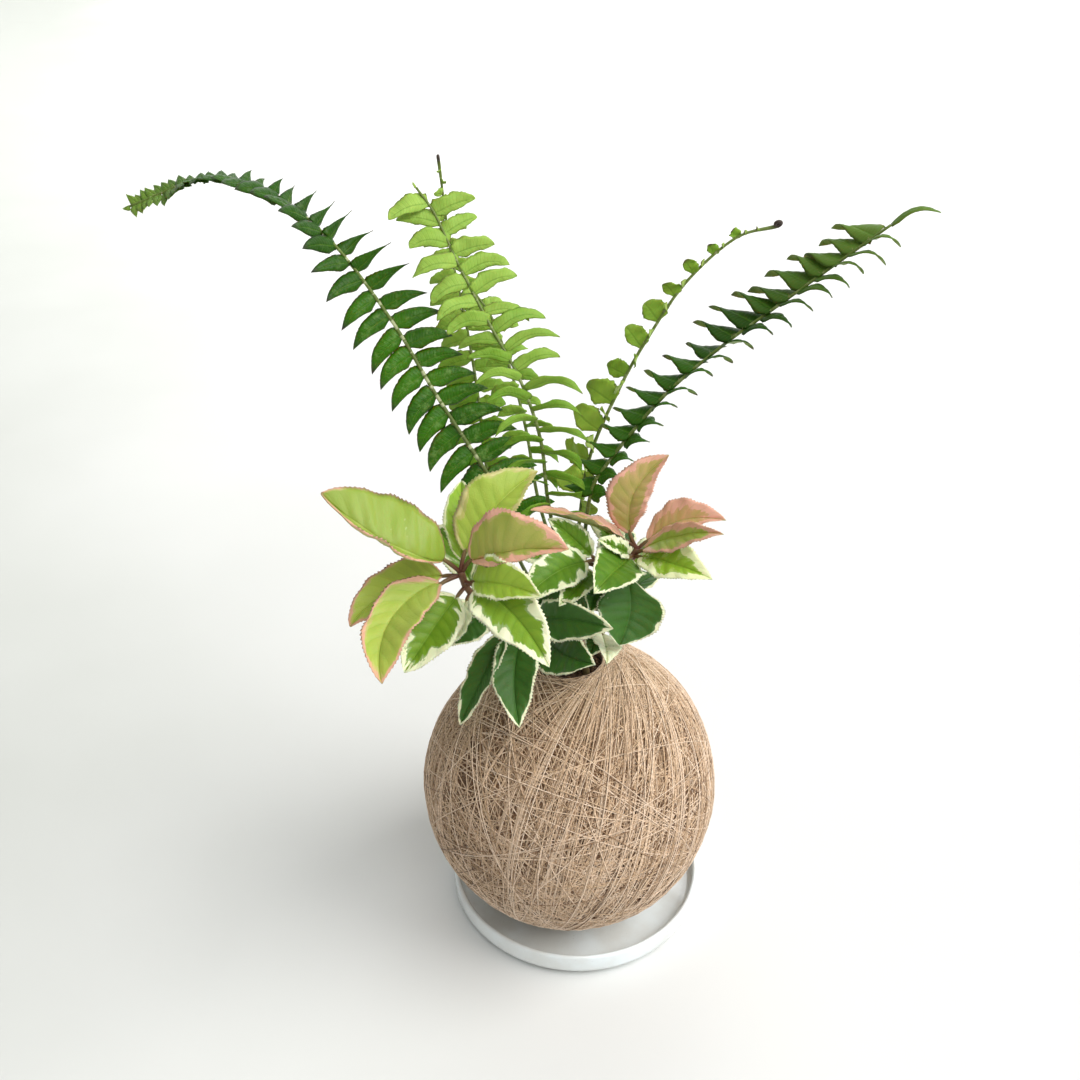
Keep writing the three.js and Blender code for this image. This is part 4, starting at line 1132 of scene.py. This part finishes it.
leafForm = {
    "columns": (0, 0.05, 0.15, 0.3, 0.46, 0.62, 0.76, 0.88, 1), "teeth": 33, "toothPitch": 0.78,
    "tooth": 0.75, "toothSpread": (0.5, 1.3), "veins": 9, "veinLean": 1.5, "quilt": 0.5, "puffs": (0.2, 1.2),
    "frill": 0.5, "sway": 0.05, "ripple": 0.05, "wander": 0.7, "groove": 0.35, "grooveWidth": 0.7,
    "thickness": 0.34, "petiole": 0.85, "stem": (1.7, 1.15), "knot": 0.25, "knotLength": 0.015,
}
# Each leaf: age, shoot, place on it, tip, width, face, and what differs: fold in degrees; arch, bow to the
# side and petiole as shares of the length; lean of the midrib to one side; belly, which sets where the blade
# is widest; quilt, which scales its puffs; tone, blush and how pink the margin is; cream, the margin's width.
leafyStems = [
    {
        "name": "leafyStemLeft", "node": "leafy_stem_left", "slot": "young_leaf",
        "shoots": [
            {"root": (-7.5, -3.5),
             "route": [(-10, -8, 147), (-18, -14, 161), (-33, -22, 176), (-44, -30, 190), (-47, -34, 202)]},
        ],
        "leaves": [
            ["young", 0, 0.99, (-96, -34, 236), 23, (0.33, -0.36, 0.85),
             {"fold": 14, "lean": -0.72, "quilt": 2.1, "cream": 0.7, "tone": -0.8, "blush": 0.1}],
            ["young", 0, 0.97, (-89, -43, 183), 20, (-0.2, -0.4, 0.9), {"bow": 0.12, "tone": 1.0}],
            ["young", 0, 0.98, (-73, -78, 184), 24, (-0.35, -0.55, 0.75),
             {"blush": 0.06, "bow": 0.15, "lean": 0.3, "cream": 1.1, "tone": 0.3}],
            ["young", 0, 1.0, (-18, -14, 234), 21, (-0.3, -0.9, 0.4),
             {"fold": 15, "pink": 0.3, "bow": -0.13, "lean": 0.25, "cream": 1.5, "tone": 0.3}],
            ["young", 0, 0.985, (-7, -50, 222), 21, (-0.15, -0.75, 0.65),
             {"arch": 0.12, "blush": 0.28, "pink": 1.5, "bow": -0.17, "lean": 0.55, "cream": 2.4}],
            ["lime", 0, 0.91, (-17, -62, 210), 17, (0, -0.8, 0.55), {"bow": -0.1, "lean": 0.25, "tone": 0.5}],
            ["cream", 0, 0.94, (-14, -74, 188), 23, (0.1, -0.75, 0.65),
             {"belly": 0.68, "cream": 1.2, "fold": 16, "bow": -0.07, "tone": 0.5}],
            ["cream", 0, 0.91, (-67, -62, 176), 22, (-0.2, -0.8, 0.5), {"tone": 0.25}],
            ["cream", 0, 0.86, (-54, -46, 174), 13, (0, -0.4, 0.9), {"cream": 4}],
            ["old", 0, 0.6, (-49, -46, 137), 15, (-0.6, -0.6, 0.5), {"bow": -0.07}],
            ["old", 0, 0.5, (-25, -58, 146), 19, (0, -0.65, 0.75), {"bow": 0.08}],
            ["old", 0, 0.7, (-54, -44, 175), 16, (-0.1, -0.8, 0.6), {}],
            ["lime", 0, 0.97, (-48, 0, 222), 14, (0, -0.6, 0.8), {"cream": 0.8}],
            ["old", 0, 0.5, (10, -46, 184), 18, (0, -0.85, 0.5), {"bow": -0.06, "cream": 1.2}],
            ["old", 0, 0.36, (4, -42, 164), 22, (0, -0.8, 0.6), {"bow": 0.08, "cream": 1.4}],
            ["cream", 0, 0.8, (-60, 8, 196), 16, (-0.2, 0.3, 0.9), {}],
            ["old", 0, 0.65, (-42, 16, 172), 15, (-0.2, 0.4, 0.9), {}],
        ],
    },
    {
        "name": "leafyStemRight", "node": "leafy_stem_right", "slot": "variegated_leaf",
        "shoots": [
            {"root": (2.5, -5), "route": [(8, -4, 150), (10, -4, 170), (17, -4, 183), (22, -4, 193)]},
            {"route": [(10, -4, 168), (8, -4.5, 176), (6, -5, 188)]},
        ],
        "leaves": [
            ["young", 0, 0.99, (33, 4, 231), 17, (-0.2, -0.9, 0.3),
             {"fold": 12, "blush": 0.7, "pink": 2, "bow": -0.24, "lean": 0.2, "cream": 2.4}],
            ["young", 0, 0.98, (55, -10, 210), 17, (-0.2, -0.3, 0.9),
             {"fold": 26, "blush": 1.0, "pink": 1.5, "bow": -0.12, "cream": 4}],
            ["young", 0, 0.96, (51, -30, 216), 13, (-0.1, -0.5, 0.85),
             {"blush": 0.12, "pink": 2, "cream": 2.2, "lean": -0.3}],
            ["young", 0, 1.0, (-21, -2, 210), 13, (0, 0.3, 1),
             {"fold": 20, "blush": 0.8, "pink": 1.5, "cream": 3}],
            ["lime", 0, 0.94, (48, -32, 197), 18, (0.2, -0.7, 0.7), {"cream": 3.2, "arch": 0.12}],
            ["cream", 0, 0.95, (3, -38, 195), 22, (0, -0.65, 0.75), {"cream": 0.6, "tone": -0.2}],
            ["cream", 0, 0.93, (5, -18, 206), 9, (0, -0.6, 0.8), {}],
            ["cream", 0, 0.9, (3, 10, 199), 11, (0, -0.4, 0.9), {}],
            ["old", 0, 0.88, (14, -30, 164), 30, (0.35, -0.75, 0.55),
             {"petiole": 0.1, "belly": 1.25, "lean": -0.15}],
            ["old", 0, 0.45, (3, -15, 147), 10, (0, -0.7, 0.7), {}],
            ["old", 0, 0.55, (-22, -10, 172), 17, (0, -0.7, 0.7), {}],
            ["cream", 1, 1.0, (-24, -36, 190), 19, (0, -0.65, 0.75),
             {"cream": 0.85, "bow": 0.06, "tone": -0.15}],
            ["cream", 1, 0.7, (-10, -35, 187), 13, (0, -0.5, 0.85), {"cream": 0.7}],
            ["cream", 1, 0.85, (-28, -12, 196), 14, (0, -0.6, 0.8), {}],
            ["cream", 1, 0.95, (-14, -4, 207), 12, (0, -0.6, 0.8), {"cream": 0.6}],
            ["old", 1, 0.5, (2, -30, 180), 11, (0, -0.7, 0.7), {}],
            ["cream", 0, 0.4, (9, -35, 159), 14, (0.2, -0.6, 0.8), {"cream": 5}],
            ["cream", 0, 0.62, (50, 30, 182), 16, (0.2, 0.3, 0.9), {}],
            ["old", 0, 0.7, (20, 40, 178), 16, (0, 0.4, 0.9), {}],
            ["old", 0, 0.5, (36, 28, 160), 15, (0.2, 0.2, 0.9), {}],
        ],
    },
]
ages = ["young", "lime", "cream", "old"]


def shootRoute(shoot):
    return stalkRoute(shoot) if "root" in shoot else shoot["route"]


def addLeaf(skin, root, leaf, number):
    # The midrib's line is root + reach . t + (arch . up + bow . right) . 4t(1 - t). Across it the blade
    # reaches width/2 . sin(pi v^belly)^0.8 . (u + lean(1 - u^2)), folded up along the midrib, quilted
    # between the side veins, waved at the margin and cut into teeth that point to the tip.
    age, _, _, tip, width, face, differs = leaf
    reach = np.array(tip, float) - root
    length = np.linalg.norm(reach)
    up = squareTo(np.array(face, float), unit(reach))
    fold = math.radians(differs.get("fold", 22))
    lean, petiole = differs.get("lean", 0), differs.get("petiole", 0.14)
    curve = length * (up * differs.get("arch", 0.07) + np.cross(unit(reach), up) * differs.get("bow", 0))

    def midline(t):
        slope = unit(reach + curve * 4 * (1 - 2 * t))
        normal = squareTo(np.broadcast_to(up, slope.shape), slope)
        return root + reach * t + curve * 4 * t * (1 - t), slope, normal

    phase, wanderPhase = chance.uniform(0, 6.3, 2)

    def fullness(v):
        return np.sin(np.pi * np.clip(v, 0.0005, 0.9999) ** differs.get("belly", 0.85)) ** 0.8

    def wander(v):  # how far the midrib leaves the leaf's plane
        return leafForm["wander"] * np.sin(4.5 * v + wanderPhase) * fullness(v)

    teeth = leafForm["teeth"]
    v = ((np.arange(teeth)[:, None] + [0, leafForm["toothPitch"]]) / teeth).ravel()
    peak = np.append(np.tile([0.0, 1.0], teeth), 0)
    peak = peak * chance.uniform(*leafForm["toothSpread"], 2 * teeth + 1)
    v = np.append(v, 1)
    line, slope, normal = midline((petiole + (1 - petiole) * v)[:, None])
    right = np.cross(slope, normal)
    u = np.array(leafForm["columns"])
    u = np.concatenate([-u[:0:-1], u])[None]
    shape = fullness(v)
    half = np.maximum(width / 2 * shape, 0.12)[:, None]
    bite = np.abs(u) > 0.99
    out = np.sign(u) * bite * leafForm["tooth"] * (peak * (0.4 + 0.6 * shape) * (v < 0.985) - 0.25)[:, None]
    v = v[:, None]
    sway = 1 + leafForm["sway"] * np.sin(17 * v + phase) * np.sign(u)
    across = u + lean * (1 - u * u)
    out = out + half * across * sway
    side = np.abs(u)
    vein = leafForm["veins"] * v**0.92 - leafForm["veinLean"] * side**1.25
    ripple = leafForm["ripple"] * width * np.sin(9 * v)
    rise = half * math.sin(fold) * side**1.25 + np.sign(u) * ripple * side**1.5
    puffs = chance.uniform(*leafForm["puffs"], (2, 2 * leafForm["veins"]))
    puffs = puffs[(u > 0).astype(int), np.floor(vein).astype(int) + 3]
    puffs = puffs * leafForm["quilt"] * differs.get("quilt", 1)
    rise = rise + puffs * np.abs(np.sin(np.pi * vein)) * np.sin(np.pi * side**0.8) * shape[:, None]
    rise = rise + leafForm["frill"] * np.sin(34 * v + phase + 2 * np.sign(u)) * side**4 * shape[:, None]
    rise = rise + wander(v) - leafForm["groove"] * np.exp(-((side * half / leafForm["grooveWidth"]) ** 2))
    right, normal = right[:, None], normal[:, None]
    middle = line[:, None] + right * (out * math.cos(fold))[..., None] + normal * rise[..., None]
    sideways = -math.sin(fold) * np.sign(u)[..., None] * right + math.cos(fold) * normal
    skin.addBlades(middle[None], unit(sideways)[None], leafForm["thickness"], ages.index(age), v=v, side=side,
                   vein=vein, rib=side * half, edge=(1 - np.abs(across)) * half, seed=number * 0.37 % 1,
                   blush=differs.get("blush", 0), pink=differs.get("pink", 1), cream=differs.get("cream", 1),
                   tone=differs.get("tone", 0))
    # the petiole, and on under the blade as its rib
    t = np.linspace(0, 0.97, 26)
    line, slope, normal = midline(t[:, None])
    under = smoothStep((t - petiole * 0.7) / 0.1)
    radii = leafForm["petiole"] * (1 - under) + under * leafForm["petiole"] * (0.75 - 0.62 * t)
    drop = wander((t - petiole) / (1 - petiole)) - radii * 0.6 - 0.4
    line = line + normal * (under * drop)[:, None]
    skin.addTube(line, slope, up, radii, 8, len(ages), v=t, blush=differs.get("blush", 0.2),
                 seed=0.2 * (age == "old"))


def makeLeafyStem(stem, looks):
    # the shoots, thinner towards the tip and swollen where leaves grow from them, and then the leaves
    skin = Skin("v", "side", "vein", "rib", "edge", "seed", "face", "blush", "pink", "cream", "tone")
    places = np.linspace(0, 1, 60)
    for k, shoot in enumerate(stem["shoots"]):
        centre, heading = smoothPath(shootRoute(shoot), places)
        knots = np.array([leaf[2] for leaf in stem["leaves"] if leaf[1] == k])
        swell = np.exp(-((places[:, None] - knots) / leafForm["knotLength"]) ** 2).max(1)
        radii = leafForm["stem"][0] + (leafForm["stem"][1] - leafForm["stem"][0]) * places
        radii = radii * (1 + leafForm["knot"] * swell)
        skin.addTube(centre, heading, (0.3, -0.9, 0.2), radii, 12, len(ages) + 1, v=places)
    for number, leaf in enumerate(stem["leaves"]):
        root, _ = smoothPath(shootRoute(stem["shoots"][leaf[1]]), np.array([leaf[2]]))
        addLeaf(skin, root[0], leaf, number)
    materials = [looks[age] for age in [*ages, "petiole", "stem"]]
    skin.make(stem["name"], materials, stem["node"])


leafLooks = {
    # blade, its puffed areas, the margin, the band between, under face, margin width in mm, jaggedness, shine
    "young": ["#82a234", "#a9be4e", "#dfaa94", "#c3b078", "#a9bd74", 0.8, 0.8, 0.34],
    "lime": ["#7aa424", "#a8ca44", "#e8ecbc", "#b9cf7c", "#9db86c", 0.9, 0.8, 0.38],
    "cream": ["#487516", "#7b9f2a", "#ebedc8", "#a3b98a", "#8fae74", 1.9, 1.2, 0.4],
    "old": ["#2a5014", "#457628", "#e6e6c2", "#4f7a45", "#6f8f74", 0.75, 0.8, 0.42],
}


def leafLook(name, base, puffed, margin, band, under, width, jagged, shine):
    leaf = Shade(name + "Leaf", subsurfaceWeight=0.12, subsurfaceScale=0.0015, specularIorLevel=0.3)
    vein, side, edge, rib, seed = [leaf.value(each) for each in ("vein", "side", "edge", "rib", "seed")]
    veinLine = (abs(vein.fraction() - 0.5) * 2).between(0.8, 1.0) * side.between(1.0, 0.75)
    midrib = rib.between(0.55, 0.2)
    puff = abs((vein * math.pi).sine()) ** 0.8
    # Colour patches follow the side veins: noise in coordinates along and between them.
    flow = leaf.vector(vein * 1.1 + seed * 60, side * 1.6, seed * 25)
    ragged = leaf.noise(1.7, flow, detail=4, roughness=0.6)
    broad = leaf.noise(0.55, flow, detail=1)
    fine = leaf.noise(900, detail=3)
    uneven = 1 + (ragged - 0.5) * 3.2 * jagged + (broad - 0.55).most(0) * 9 * jagged
    wide = leaf.value("cream") * width * uneven
    rim = (edge - wide).between(0.18, -0.18)
    halo = (edge - wide * 1.25 - 0.5).between(0.3, -0.3) * broad.between(0.4, 0.6)
    share = puff * 0.12 + ragged * 0.6 + broad * 0.6 + leaf.value("tone") - 0.26
    colour = leaf.mix(share, base, puffed)
    colour = leaf.mix(halo * 0.55, colour, band)
    if name == "young":
        blush = leaf.value("blush")
        olive = leaf.mix(broad.between(0.3, 0.7), "#c09c68", "#d4a082")
        colour = leaf.mix(blush * (0.5 + ragged * 0.7), colour, olive)
        rim = rim * (leaf.value("pink") * (0.5 + ragged)).between(0.1, 0.6)
        margin = leaf.mix(blush * 3, leaf.mix(leaf.value("pink"), "#e6dfae", "#d3a488"), margin)
    colour = leaf.mix(rim, colour, margin)
    colour = leaf.mix(veinLine * 0.16, colour, puffed if name == "old" else base)
    colour = leaf.mix(midrib * (0.12 if name == "old" else 0.3), colour, puffed)
    colour = leaf.mix(leaf.value("face").between(0.45, 0.2) * 0.75, colour, under)
    leaf.feed(baseColor=colour, roughness=shine + fine * 0.15)
    net = leaf.cells(620)
    leaf.bump(puff * 0.35 - midrib * 0.8 + net.between(0.0, 0.12) * 0.12 + fine * 0.14 + ragged * 0.5, 0.2)
    return leaf.material


def stemLooks():
    stalk = Shade("leafPetiole", roughness=0.45)
    red = stalk.mix(stalk.value("v").between(0.0, 0.45), "#5e2f22", "#9aa04e")
    stalk.feed(baseColor=stalk.mix(stalk.value("seed") * 2, red, "#56703c"))
    wood = Shade("leafyStem", roughness=0.6)
    bark = wood.noise(500, detail=4)
    wood.feed(baseColor=wood.mix(wood.value("v") + bark * 0.5 - 0.3, "#5b5030", "#6b4630"))
    wood.bump(bark, 0.25)
    return {"petiole": stalk.material, "stem": wood.material}


def makeLeaves():
    looks = {name: leafLook(name, *look) for name, look in leafLooks.items()}
    looks.update(stemLooks())
    for stem in leafyStems:
        makeLeafyStem(stem, looks)


makeLeaves()
